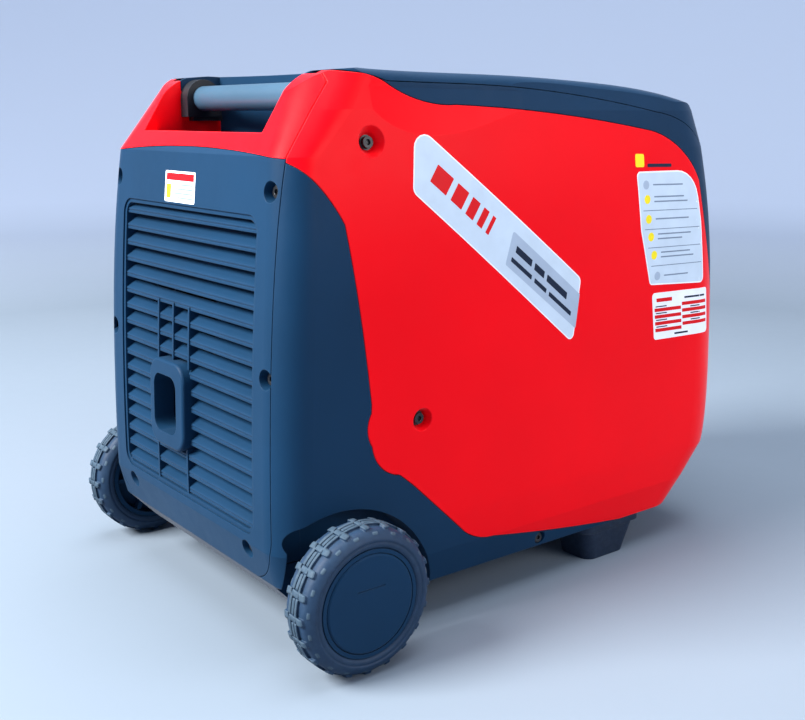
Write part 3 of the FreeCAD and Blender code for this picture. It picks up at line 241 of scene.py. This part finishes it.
def lamp_lens(name, colour):
    """Moulded lens of an indicator lamp, ribbed inside."""
    g = Graph(name)
    soft_normal, edge = g.edges(0.0005)
    ribs = g.add("ShaderNodeTexWave", {"Vector": g.place, "Scale": 450.0, "Distortion": 0.4},
                 wave_type="BANDS", bands_direction="Z").outputs["Fac"]
    tone = g.mix(g.ramp(ribs, 0.2, 0.8), scaled(colour, 0.75), scaled(colour, 1.2))
    # painted edge highlight: pale orange along the edges
    tone = g.mix(g.maths("MULTIPLY", edge, 0.4), tone, linear(255, 190, 150))
    return g.finish(Base_Color=tone, Roughness=g.ramp(g.noise(80.0, 3.0), 0.3, 0.7, 0.1, 0.2),
                    Specular_IOR_Level=0.5, Subsurface_Weight=0.15, Subsurface_Scale=0.001,
                    Normal=g.bump(ribs, 0.00008, 0.4, soft_normal))


def braid(name, colour):
    """Braided starter rope: crossing strands and loose fibre."""
    g = Graph(name)

    def strands(way):
        inputs = {"Vector": g.stretched(way), "Scale": 260.0, "Distortion": 1.2}
        made = g.add("ShaderNodeTexWave", inputs, wave_type="BANDS", bands_direction="DIAGONAL")
        return made.outputs["Fac"]

    one, two = strands((1.0, 1.0, 1.0)), strands((-1.0, 1.0, -1.0))
    weave = g.maths("MAXIMUM", one, two)
    tone = g.mix(g.ramp(weave, 0.3, 0.9), scaled(colour, 0.45), colour)
    tone = g.mix(g.ramp(g.noise(900.0, 3.0), 0.5, 0.75, 0.0, 0.5), tone, linear(40, 60, 110))
    return g.finish(Base_Color=tone, Roughness=g.ramp(weave, 0.0, 1.0, 0.9, 0.75), Sheen_Weight=0.25,
                    Normal=g.bump(weave, 0.0003, 0.8))


# base colours, linear
RED = (0.86, 0.0006, 0.006, 1.0)
RED_WORN = (1.0, 0.06, 0.10, 1.0)
# dark colour painted on the inward faces of the side covers: painted shade
INSIDE_SHADE = (0.012, 0.013, 0.016, 1.0)
# slate made lighter for the handle bar: painted light from overhead
HANDLE_PAINTED_LIT = (0.035, 0.078, 0.125, 1.0)
SLATE = (0.004, 0.026, 0.064, 1.0)
SLATE_WORN = (0.045, 0.10, 0.18, 1.0)
BLACK = (0.003, 0.005, 0.009, 1.0)
BLACK_WORN = (0.05, 0.06, 0.075, 1.0)

COVER_LOOK = {"specular": 0.07, "wear": 0.2, "soft": 0.0014, "cloud": 0.04, "dusty": 0.03, "sheen": 0.12}
CONTROL_LOOK = {"specular": 0.4, "coat": 0.2, "wear": 0.25}

finishes = {
    "red_plastic": moulded("red_plastic", RED, 0.34, RED_WORN, **COVER_LOOK),
    # red with painted shade on the faces turned into the casing
    "red_with_inside_shade": moulded("red_with_inside_shade", RED, 0.34, RED_WORN, inside_shade_colour=INSIDE_SHADE, **COVER_LOOK),
    "dark_plastic": moulded("dark_plastic", SLATE, 0.5, SLATE_WORN, specular=0.09, wear=0.3, sheen=0.05),
    # handle bar in a lighter slate: painted light from overhead
    "handle_plastic_painted_lit": moulded("handle_plastic_painted_lit", HANDLE_PAINTED_LIT, 0.36, SLATE_WORN, specular=0.4, wear=0.3),
    "black_plastic": moulded("black_plastic", BLACK, 0.5, BLACK_WORN, specular=0.3, wear=0.3),
    "grey_plastic": moulded("grey_plastic", linear(142, 148, 154), 0.45, linear(205, 208, 212), wear=0.25),
    "control_red": moulded("control_red", linear(205, 22, 20), 0.3, linear(250, 120, 110),
                           **CONTROL_LOOK),
    "control_green": moulded("control_green", linear(24, 150, 62), 0.3, linear(130, 220, 150),
                             **CONTROL_LOOK),
    "rubber": rubbery("rubber", (0.004, 0.013, 0.032, 1.0), (0.03, 0.05, 0.09, 1.0)),
    "tread_rubber": rubbery("tread_rubber", (0.006, 0.024, 0.058, 1.0), (0.03, 0.07, 0.12, 1.0), 0.6, 0.2),
    "steel": metal("steel", linear(190, 194, 198), 0.32),
    "black_steel": painted_steel("black_steel", linear(18, 20, 25), 0.4, linear(150, 154, 160)),
    "engine_paint": painted_steel("engine_paint", linear(58, 60, 64), 0.45, linear(160, 162, 166)),
    "aluminium": metal("aluminium", linear(200, 203, 206), 0.48, casting=1.5),
    "iron": metal("iron", linear(128, 128, 130), 0.45, tarnish=0.35, casting=0.8),
    "brass": metal("brass", linear(214, 178, 96), 0.28, brushed=(300.0, 2400.0, 2400.0)),
    "clear_window": glass_window("clear_window", linear(22, 32, 34)),
    "lamp_lens": lamp_lens("lamp_lens", linear(226, 96, 40)),
    "cord_fibre": braid("cord_fibre", linear(206, 204, 196)),
}

# nodes whose look differs from the rest of their slot
OWN_FINISH = {"handle_bar": "handle_plastic_painted_lit", "side_cover_left": "red_with_inside_shade", "side_cover_right": "red_with_inside_shade"}

for name, obj in NODES.items():
    obj.data.materials.clear()
    obj.data.materials.append(finishes[OWN_FINISH.get(name, SLOT_OF[name])])


# ---------------------------------------------------------------- mesh helpers
def new_object(name, vertices, faces, materials, indices=None, smooth=True):
    mesh = bpy.data.meshes.new(name)
    mesh.from_pydata([tuple(v) for v in vertices], [], faces)
    for material in materials:
        mesh.materials.append(material)
    if indices is not None:
        mesh.polygons.foreach_set("material_index", indices)
    mesh.polygons.foreach_set("use_smooth", [smooth] * len(mesh.polygons))
    mesh.update()
    obj = bpy.data.objects.new(name, mesh)
    bpy.context.scene.collection.objects.link(obj)
    return obj


def surface_of(*names):
    """One search tree over the triangles of several CAD nodes."""
    vertices, polygons = [], []
    for name in names:
        base = len(vertices)
        mesh = NODES[name].data
        vertices += [v.co.copy() for v in mesh.vertices]
        polygons += [[base + i for i in p.vertices] for p in mesh.polygons]
    return BVHTree.FromPolygons(vertices, polygons)


def curved_corners(corners, steps=6):
    """Outline of (u, v) from (u, v, radius) corners, each rounded by a short arc-like curve."""
    out = []
    for i, (u, v, radius) in enumerate(corners):
        here = Vector((u, v))
        if radius <= 0:
            out.append(here)
            continue
        before, after = Vector(corners[i - 1][:2]), Vector(corners[(i + 1) % len(corners)][:2])
        to_before, to_after = (before - here), (after - here)
        turn = to_before.angle(to_after)
        reach = min(radius / math.tan(turn / 2), to_before.length * 0.49, to_after.length * 0.49)
        start, end = here + to_before.normalized() * reach, here + to_after.normalized() * reach
        for k in range(steps + 1):
            t = k / steps
            weight = 2 * t * (1 - t) * math.sin(turn / 2)
            total = (1 - t) ** 2 + weight + t ** 2
            out.append((start * (1 - t) ** 2 + here * weight + end * t ** 2) / total)
    return out


def shrunk(outline, by):
    """The outline moved inwards by a distance, for convex outlines."""
    count = len(outline)
    area = sum(outline[i - 1].cross(outline[i]) for i in range(count))
    side = 1 if area > 0 else -1
    out = []
    for i in range(count):
        before, here, after = outline[i - 1], outline[i], outline[(i + 1) % count]
        n = (here - before).orthogonal().normalized() + (after - here).orthogonal().normalized()
        n = n.normalized() if n.length > 1e-9 else (here - before).orthogonal().normalized()
        out.append(here + n * by * side)
    return out


def filled(outline, step):
    """Points and triangles that fill an outline on a fine grid, with its rim first."""
    rim = []
    for i, here in enumerate(outline):
        after = outline[(i + 1) % len(outline)]
        parts = max(1, math.ceil((after - here).length / step))
        rim += [here.lerp(after, k / parts) for k in range(parts)]
    low = Vector((min(p.x for p in rim), min(p.y for p in rim)))
    high = Vector((max(p.x for p in rim), max(p.y for p in rim)))
    area = sum(rim[i - 1].cross(rim[i]) for i in range(len(rim)))
    if area < 0:
        rim.reverse()
    grid = []
    v = low.y + step / 2
    while v < high.y:
        u = low.x + step / 2
        while u < high.x:
            point = Vector((u, v))
            if inside(point, rim) and min((point - q).length for q in rim) > step * 0.35:
                grid.append(point)
            u += step
        v += step
    count = len(rim)
    found = delaunay_2d_cdt(rim + grid, [], [list(range(count))], 1, 1e-9)
    if len(found[0]) != count + len(grid):
        raise ValueError("an outline crosses itself")
    return found[0], [tuple(f) for f in found[2]], count


def inside(point, rim):
    hit = False
    for i in range(len(rim)):
        a, b = rim[i - 1], rim[i]
        if (a.y > point.y) != (b.y > point.y):
            if point.x < (b.x - a.x) * (point.y - a.y) / (b.y - a.y) + a.x:
                hit = not hit
    return hit


def laid_on(name, outlines, material, seen, surface, lift, body="casing", step=9 * MM, depth=0.3 * MM):
    """Thin film or sticker of several outlines, laid on CAD surfaces and following their curve.

    seen is "side" for outlines in x and z laid on the left wall, "rear" for y and z on the exhaust end,
    and "front" for y and z on the control end.
    """
    vertices, faces = [], []
    for outline in outlines:
        points, triangles, count = filled(outline, step)
        base = len(vertices)
        flip = seen == "rear"
        tops, roots = [], []
        for p in points:
            start, along = {"side": (Vector((p.x, -1, p.y)), Vector((0, 1, 0))),
                            "rear": (Vector((-1, p.x, p.y)), Vector((1, 0, 0))),
                            "front": (Vector((1, p.x, p.y)), Vector((-1, 0, 0)))}[seen]
            hit, normal = surface.ray_cast(start, along)[:2]
            if hit is None:
                raise ValueError(f"{name} reaches past its surface at {p}")
            tops.append(hit - along * lift)
            roots.append(hit - along * (lift - depth))
        vertices += tops + tops[:count] + roots[:count]
        edge = base + len(points)
        under = edge + count
        for a, b, c in triangles:
            faces.append((base + c, base + b, base + a) if flip else (base + a, base + b, base + c))
        for i in range(count):
            j = (i + 1) % count
            quad = (edge + i, under + i, under + j, edge + j)
            faces.append(tuple(reversed(quad)) if flip else quad)
    obj = new_object(name, vertices, faces, [material])
    for polygon in obj.data.polygons:
        if len(polygon.vertices) == 4:
            polygon.use_smooth = False
    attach(obj, body)
    return obj


# ---------------------------------------------------------------- tyres
TYRE_R = 66.0 * MM
CARCASS_R = 63.7 * MM
TYRE_HALF = 18.3 * MM
PERIODS = 20


def carcass_radius(v):
    """Radius of the smooth tyre under its lugs, at a distance v from the tyre's middle plane."""
    shoulder = max(0.0, abs(v) - 9.0 * MM) / (TYRE_HALF - 9.0 * MM)
    return CARCASS_R - 7.6 * MM * shoulder ** 2.6


def tyre(side):
    """Solid rubber tyre with rounded shoulders and three rows of interlocking lugs."""
    centre = Vector((WHEEL_CENTRE.x, middle("tyre_" + side).y, WHEEL_CENTRE.z))
    out = -1 if side == "left" else 1
    vertices, faces, indices = [], [], []

    def at(angle, v, radius):
        return centre + Vector((math.cos(angle) * radius, out * v, math.sin(angle) * radius))

    profile = []
    for k in range(25):
        v = TYRE_HALF * (k / 12 - 1)
        profile.append((v, carcass_radius(v)))
    wall = [(18.55, 55.2), (18.5, 54.2), (17.9, 53.7), (17.9, 52.9), (18.3, 52.4), (18.1, 50.0), (17.0, 48.4),
            (15.5, 47.6)]
    profile += [(v * MM, r * MM) for v, r in wall]
    profile = [(-v * MM, r * MM) for v, r in reversed(wall)] + profile
    around = 160
    count = len(profile)
    for k in range(around):
        for v, radius in profile:
            vertices.append(at(2 * math.pi * k / around, v, radius))
    for k in range(around):
        for i in range(count):
            a, b = k * count + i, k * count + (i + 1) % count
            c, d = ((k + 1) % around) * count + (i + 1) % count, ((k + 1) % around) * count + i
            faces.append((a, b, c, d) if out < 0 else (d, c, b, a))
            indices.append(0)

    def lug(points, turn, height, rim_drop=0.5 * MM):
        """One raised block: outline in (distance round the tread, distance across it), in millimetres."""
        outline = curved_corners([(s * MM, v * MM, r * MM) for s, v, r in points], 3)
        flat, triangles, rim_count = filled(outline, 3.0 * MM)
        base = len(vertices)
        mid = sum((p for p in flat[:rim_count]), Vector((0, 0))) / rim_count
        for p in flat:
            vertices.append(at(turn + p.x / TYRE_R, p.y, carcass_radius(p.y) + height))
        for p in flat[:rim_count]:
            away = p + (p - mid).normalized() * 0.25 * MM
            vertices.append(at(turn + away.x / TYRE_R, away.y, carcass_radius(away.y) + height - 0.35 * MM))
        for p in flat[:rim_count]:
            away = p + (p - mid).normalized() * 0.55 * MM
            vertices.append(at(turn + away.x / TYRE_R, away.y, carcass_radius(away.y) - rim_drop))
        for a, b, c in triangles:
            tri = (base + a, base + b, base + c)
            faces.append(tri if out > 0 else tri[::-1])
            indices.append(1)
        rings = [base, base + len(flat), base + len(flat) + rim_count]
        for high, low in zip(rings, rings[1:]):
            for i in range(rim_count):
                j = (i + 1) % rim_count
                quad = (high + i, low + i, low + j, high + j)
                faces.append(quad if out > 0 else quad[::-1])
                indices.append(1 if high == base else 0)

    pitch = 2 * math.pi * TYRE_R / MM / PERIODS
    low, high = 3.4 - pitch, -3.6
    outer = [(-2.9, 5.9, 0.6), (-2.9, 12.4, 1.4), (2.9, 13.6, 1.4), (3.3, 6.7, 0.6), (-0.2, 5.6, 0.8),
             (high + 0.4, 3.3, 0.6), (low, 2.7, 0.5), (low, 5.7, 0.5)]
    block = [(-2.6, -4.6, 0.7), (-2.1, 4.3, 0.7), (2.6, 5.0, 0.7), (2.1, -4.0, 0.7)]
    bar = [(low + 0.6, -1.6, 0.5), (low + 0.6, 1.5, 0.5), (high, 1.8, 0.5), (high, -1.3, 0.5)]
    for k in range(PERIODS):
        turn = 2 * math.pi * k / PERIODS
        lug(outer, turn, 2.3 * MM)
        lug([(-s, -v, r) for s, v, r in outer], turn, 2.3 * MM)
        lug(block, turn, 2.3 * MM)
        lug(bar, turn, 2.2 * MM)
        for v in (-15.6, 15.6):
            lug([(-9.0, v - 0.7, 0.4), (-9.0, v + 0.7, 0.4), (-3.8, v + 0.7, 0.4), (-3.8, v - 0.7, 0.4)],
                turn, 0.45 * MM, 0.3 * MM)
    # raised lugs take the paler rubber: painted light on the lugs
    obj = new_object("tread_" + side, vertices, faces, [finishes["tread_rubber"], lug_rubber_painted_lit], indices)
    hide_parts("tyre_" + side)
    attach(obj, side + "_wheel")


# paler copy of the tread rubber for the raised lugs: painted light on the lugs against the darker rubber
# between them
lug_rubber_painted_lit = rubbery("lug_rubber_painted_lit", (0.026, 0.052, 0.082, 1.0), (0.10, 0.14, 0.19, 1.0), 0.68, 0.32)
for side in ("left", "right"):
    tyre(side)


# ---------------------------------------------------------------- stickers
white_vinyl = printed("white_vinyl", linear(238, 240, 246))
pale_vinyl = printed("pale_vinyl", linear(196, 210, 224))
silver_vinyl = printed("silver_vinyl", linear(164, 178, 196), 0.36)
red_ink = printed("red_ink", linear(214, 14, 22))
dark_ink = printed("dark_ink", linear(26, 36, 56))
grey_ink = printed("grey_ink", linear(120, 134, 152))
yellow_ink = printed("yellow_ink", linear(246, 222, 40))

left_wall = surface_of("side_cover_left", "front_frame")
rear_wall = surface_of("exhaust_end_panel")


def on_casing(points):
    """Corners (x from the casing's centre, z, radius) in millimetres, in the row frame."""
    return [(CASING_X + x * MM, z * MM, r * MM) for x, z, r in points]


def within(quad, corners):
    """Corners given as shares of a quadrilateral (along, up, radius in mm), in the row frame."""
    (a, b, c, d) = [Vector(q[:2]) for q in quad]
    out = []
    for s, t, r in corners:
        p = (a * (1 - s) + b * s) * (1 - t) + (d * (1 - s) + c * s) * t
        out.append((p.x, p.y, r * MM))
    return out


def strip(quad, s0, s1, t0, t1, radius=0.25, slant=0.0):
    """A bar inside a quadrilateral."""
    return curved_corners(within(quad, [(s0, t0, radius), (s1, t0, radius), (s1 + slant, t1, radius),
                                        (s0 + slant, t1, radius)]), 2)


VINYL_LIFT = 0.16 * MM        # top of a vinyl sticker above the panel
PRINT_LIFT = 0.21 * MM        # printing on it
INK_LIFT = 0.26 * MM          # printing over printing
FILM = 0.06 * MM


def side_label(name, outlines, material, lift, step=4 * MM):
    laid_on(name, outlines, material, "side", left_wall, lift, step=step,
            depth=VINYL_LIFT if lift == VINYL_LIFT else FILM)


def rear_label(name, outlines, material, lift):
    laid_on(name, outlines, material, "rear", rear_wall, lift, step=5 * MM,
            depth=VINYL_LIFT if lift == VINYL_LIFT else FILM)


def stripe_band():
    """Broad sloping band on the side cover: slanted red stripes, then a silver plate with bars."""
    corners = on_casing([(-158.5, 397, 9), (35.5, 243.5, 5), (44.5, 306.5, 8), (-152, 455, 12)])
    band = curved_corners(corners)
    side_label("band_sticker", [band], white_vinyl, VINYL_LIFT)
    side_label("band_field", [shrunk(band, 1.3 * MM)], pale_vinyl, PRINT_LIFT)
    stripes = [strip(corners, s, s + w, 0.37, 0.71, 0.6, 0.04) for s, w in
               ((0.085, 0.085), (0.195, 0.06), (0.278, 0.043), (0.343, 0.03), (0.395, 0.018))]
    side_label("band_stripes", stripes, red_ink, INK_LIFT)
    plate = on_casing([(-54.9, 327.8, 2), (38.5, 257.8, 1), (43.2, 291.2, 1), (-44.7, 357.8, 2)])
    side_label("band_plate", [curved_corners(plate)], silver_vinyl, INK_LIFT)
    bars = [strip(plate, s, s + w, 0.52, 0.72, 0.5) for s, w in ((0.08, 0.22), (0.34, 0.14), (0.52, 0.30))]
    bars += [strip(plate, s, s + w, 0.20, 0.33, 0.4) for s, w in ((0.05, 0.28), (0.37, 0.17), (0.58, 0.33))]
    side_label("band_rules", bars, dark_ink, INK_LIFT + 0.05 * MM)


def notice_edge(z, right):
    """Left or right edge of the notice label at a height, from the casing's centre, in millimetres."""
    rows = [(285, 147.5, 236), (300, 145.5, 235), (350, 131, 228.5), (384, 127.5, 220), (405, 125, 200)]
    for (z0, a0, b0), (z1, a1, b1) in zip(rows, rows[1:]):
        if z <= z1:
            t = (z - z0) / (z1 - z0)
            return b0 + (b1 - b0) * t if right else a0 + (a1 - a0) * t
    return rows[-1][2] if right else rows[-1][1]


def rule(x0, x1, z, thick, radius=0.3):
    drop = 0.02 * (x1 - x0)
    return curved_corners(on_casing([(x0, z, radius), (x1, z - drop, radius), (x1, z - drop + thick, radius),
                                     (x0, z + thick, radius)]), 2)


def notice():
    """Tall notice label with round pictogram spots and short grey lines, and a heading bar above it."""
    outline = curved_corners(on_casing([(147, 290, 5), (236, 285, 6), (228.5, 350, 60), (216, 405, 38),
                                        (125, 405.5, 5), (131, 347, 30)]))
    side_label("notice_label", [outline], white_vinyl, VINYL_LIFT)
    side_label("notice_field", [shrunk(outline, 1.5 * MM)], pale_vinyl, PRINT_LIFT)
    rules, spots, marks = [], [], []
    for z in (366.0, 347.0, 328.0, 309.0):
        rules.append(rule(notice_edge(z, False) + 5, notice_edge(z, True) - 4, z, 0.8, 0.2))
    for z, lines in ((392.0, 1), (377.5, 2), (357.5, 1), (339.5, 2), (320.5, 2), (298.5, 1)):
        left = notice_edge(z, False)
        for line in range(lines):
            top = z + (lines - 1) * 2.4 - line * 4.8
            end = min(notice_edge(top, True) - 6, left + 24 + (52, 38, 46)[(int(z) + line) % 3])
            rules.append(rule(left + 23, end, top - 0.8, 1.4))
        spot = curved_corners(on_casing([(left + x, z + up, 4.4) for x, up in
                                         ((8, -4.5), (17, -4.5), (17, 4.5), (8, 4.5))]), 4)
        (spots if lines == 2 or z == 357.5 else marks).append(spot)
    side_label("notice_rules", rules, grey_ink, INK_LIFT)
    side_label("notice_spots", spots, yellow_ink, INK_LIFT)
    side_label("notice_marks", marks, silver_vinyl, INK_LIFT)
    mark = on_casing([(124, 410, 2), (137, 409.7, 2), (137, 422.7, 2), (124, 423, 2)])
    side_label("heading_spot", [curved_corners(mark)], yellow_ink, VINYL_LIFT)
    side_label("heading_rule", [rule(142, 179, 409.6, 3.4, 1.0)], dark_ink, VINYL_LIFT)


def table_label():
    """Small table of red and white cells with thin dark bars in them."""
    corners = on_casing([(158, 231, 4), (251, 229, 4), (244, 279, 4), (151, 281, 4)])
    side_label("table_label", [curved_corners(corners)], white_vinyl, VINYL_LIFT)
    red_rows, dark_rows = [], []
    for row in range(4):
        low = 0.16 + row * 0.145
        red_rows.append(strip(corners, 0.03, 0.49, low, low + 0.075, 0.1))
        red_rows.append(strip(corners, 0.51, 0.97, low + 0.075, low + 0.15, 0.1))
        dark_rows.append(strip(corners, 0.05, 0.24, low + 0.098, low + 0.122, 0.1))
        if row:
            dark_rows.append(strip(corners, 0.66, 0.83, low + 0.025, low + 0.05, 0.1))
    dark_rows += [strip(corners, 0.56, 0.94, 0.82, 0.86, 0.2), strip(corners, 0.36, 0.60, 0.06, 0.10, 0.2)]
    red_rows.append(strip(corners, 0.07, 0.34, 0.80, 0.88, 0.3))
    side_label("table_bars", red_rows, red_ink, PRINT_LIFT)
    side_label("table_rules", dark_rows, dark_ink, PRINT_LIFT)


def end_label():
    """Small label on the exhaust end: red heading, yellow spot and grey lines."""
    corners = [(y * MM, z * MM, 1.6 * MM) for y, z in ((-19, 383), (40.5, 383), (40.5, 411), (-19, 411))]
    rear_label("end_label", [curved_corners(corners)], white_vinyl, VINYL_LIFT)
    heading, spot = strip(corners, 0.04, 0.96, 0.70, 0.93, 0.4), strip(corners, 0.79, 0.95, 0.12, 0.58, 1.2)
    rear_label("end_heading", [heading], red_ink, PRINT_LIFT)
    rear_label("end_spot", [spot], yellow_ink, PRINT_LIFT)
    lines = [strip(corners, 0.06, end, t, t + 0.06, 0.2) for t, end in
             ((0.12, 0.58), (0.26, 0.70), (0.40, 0.66), (0.54, 0.5))]
    rear_label("end_rules", lines, grey_ink, PRINT_LIFT)


# ---------------------------------------------------------------- printing on the control plate
segment_ink = printed("segment_ink", linear(196, 226, 214), 0.3)
DIAL = (66.0, 350.0)          # middle of the engine dial, across and up, in millimetres
LAMP_Y = 84.0
TWO, THREE, ZERO = (0, 1, 6, 4, 3), (0, 1, 6, 2, 3), (0, 1, 2, 3, 4, 5)


def digit(y, z, lit, width=9.0, height=17.0, thick=1.9):
    """One seven-segment digit; lit holds the numbers of its segments, top first and the middle one last."""
    half, right, top = height / 2, y + width, z + height
    boxes = [(y + 1, top - thick, right - 1, top),
             (right - thick, z + half, right, top - 1),
             (right - thick, z + 1, right, z + half - 0.4),
             (y + 1, z, right - 1, z + thick),
             (y, z + 1, y + thick, z + half - 0.4),
             (y, z + half, y + thick, top - 1),
             (y + 2, z + half - thick / 2, right - 2, z + half + thick / 2)]
    return [plate_box(*boxes[k]) for k in lit]


def plate_box(y0, z0, y1, z1, radius=0.3):
    """Rectangle on the control end, in millimetres."""
    return curved_corners([(y0 * MM, z0 * MM, radius * MM), (y1 * MM, z0 * MM, radius * MM),
                           (y1 * MM, z1 * MM, radius * MM), (y0 * MM, z1 * MM, radius * MM)], 2)


def plate_bar(centre, angle, start, end, thick=1.2):
    """Radial tick round a control."""
    along = Vector((math.cos(angle), math.sin(angle)))
    side = along.orthogonal() * thick / 2
    hub = Vector(centre)
    corners = [hub + along * start - side, hub + along * end - side,
               hub + along * end + side, hub + along * start + side]
    return curved_corners([(c.x * MM, c.y * MM, 0.25 * MM) for c in corners], 2)


def control_printing():
    """White ticks round the engine dial, short bars beside the other controls, and digits on the display."""
    plate, screen = surface_of("control_panel"), surface_of("display")
    marks = [plate_bar(DIAL, math.radians(a), 26.0, 31.0) for a in (45, 90, 135, 180)]
    marks += [plate_box(y, 223.5, y + 30, 225.0) for y in (-93, -31)]
    marks += [plate_box(y, 309.0, y + 12, 310.4) for y in (-84, -22)]
    marks += [plate_box(LAMP_Y - 19, z - 0.6, LAMP_Y - 9, z + 0.6) for z in (286, 272, 258)]
    marks += [plate_box(80, 203.0, 100, 204.2), plate_box(-3, 384.5, 11, 385.7)]
    laid_on("plate_marks", marks, white_vinyl, "front", plate, 0.12 * MM, step=6 * MM,
            depth=0.16 * MM)
    digits = []
    for y, lit in ((-92, TWO), (-78, THREE), (-64, ZERO)):
        digits += digit(y, 348, lit)
    digits += [plate_box(-92 + 6.4 * k, 335, -88 + 6.4 * k, 340) for k in range(8)]
    laid_on("display_segments", digits, segment_ink, "front", screen, 0.10 * MM, step=6 * MM,
            depth=0.14 * MM)


stripe_band()
notice()
table_label()
end_label()
control_printing()


# ---------------------------------------------------------------- camera, floor and light
CAMERA_PLACE = (-0.71910, -0.89564, 0.45974)
CAMERA_TILT = 77.259          # degrees up from straight down
CAMERA_TURN = -37.49          # degrees about the vertical, from looking along +Y
SENSOR = 36.0
LENS = 48.26


def studio():
    """Pale seamless bowl, a key light at the exhaust end, softer lights above and beside, and a camera."""
    profile = [(0.0, 0.0), (1.2, 0.0), (2.4, 0.0), (3.4, 0.0)]
    turn_r, wall_r = 2.2, 3.4
    for k in range(1, 17):
        angle = math.pi / 2 * k / 16
        profile.append((wall_r + math.sin(angle) * turn_r, turn_r - math.cos(angle) * turn_r))
    profile.append((wall_r + turn_r, 4.2))
    around = 96
    vertices = [(0, 0, 0)]
    for radius, z in profile[1:]:
        for k in range(around):
            turn = 2 * math.pi * k / around
            vertices.append((radius * math.cos(turn), radius * math.sin(turn), z))
    faces = [(0, 1 + k, 1 + (k + 1) % around) for k in range(around)]
    for ring in range(len(profile) - 2):
        a, b = 1 + ring * around, 1 + (ring + 1) * around
        faces += [(a + k, b + k, b + (k + 1) % around, a + (k + 1) % around) for k in range(around)]
    g = Graph("backdrop")
    tone = g.mix(g.ramp(g.noise(0.9, 3.0), 0.3, 0.7), (0.165, 0.205, 0.255, 1.0), (0.175, 0.215, 0.265, 1.0))
    away = g.add("ShaderNodeVectorMath", {0: g.place}, operation="LENGTH").outputs["Value"]
    # painted light: paler with distance from the middle, so the wall is brighter than the floor, in place of
    # a lamp lighting the backdrop
    tone = g.mix(g.ramp(away, 1.7, 4.0), tone, (0.46, 0.53, 0.66, 1.0))
    material = g.finish(Base_Color=tone, Roughness=g.ramp(g.noise(40.0, 3.0), 0.3, 0.7, 0.86, 0.94),
                        Specular_IOR_Level=0.1, Normal=g.bump(g.noise(90.0, 4.0), 0.0004, 0.15))
    floor = new_object("floor", vertices, faces, [material])

    world = bpy.data.worlds.new("studio")
    bpy.context.scene.world = world
    world.use_nodes = True
    world.node_tree.nodes["Background"].inputs["Color"].default_value = (0.64, 0.84, 1.12, 1.0)
    world.node_tree.nodes["Background"].inputs["Strength"].default_value = 0.40

    def lamp(name, place, aim, size, power, colour):
        data = bpy.data.lights.new(name, "AREA")
        data.shape = "RECTANGLE"
        data.size, data.size_y = size
        data.energy = power
        data.color = colour
        obj = bpy.data.objects.new(name, data)
        obj.location = place
        obj.rotation_euler = (Vector(aim) - Vector(place)).to_track_quat("-Z", "Y").to_euler()
        bpy.context.scene.collection.objects.link(obj)

    lamp("key", (-2.6, 0.7, 2.3), (0, 0, 0.25), (1.5, 1.5), 400, (1.0, 0.98, 0.94))
    lamp("overhead", (0.1, 0.0, 3.0), (0, 0, 0.2), (2.4, 2.4), 120, (0.97, 0.98, 1.0))
    lamp("fill", (1.2, -3.0, 1.5), (0, 0, 0.2), (2.2, 1.6), 64, (1.0, 0.97, 0.95))

    data = bpy.data.cameras.new("camera")
    data.sensor_width = SENSOR
    data.lens = LENS
    camera = bpy.data.objects.new("camera", data)
    camera.location = CAMERA_PLACE
    camera.rotation_euler = (math.radians(CAMERA_TILT), 0.0, math.radians(CAMERA_TURN))
    bpy.context.scene.collection.objects.link(camera)
    bpy.context.scene.camera = camera
    bpy.context.scene.view_settings.view_transform = "Standard"


studio()
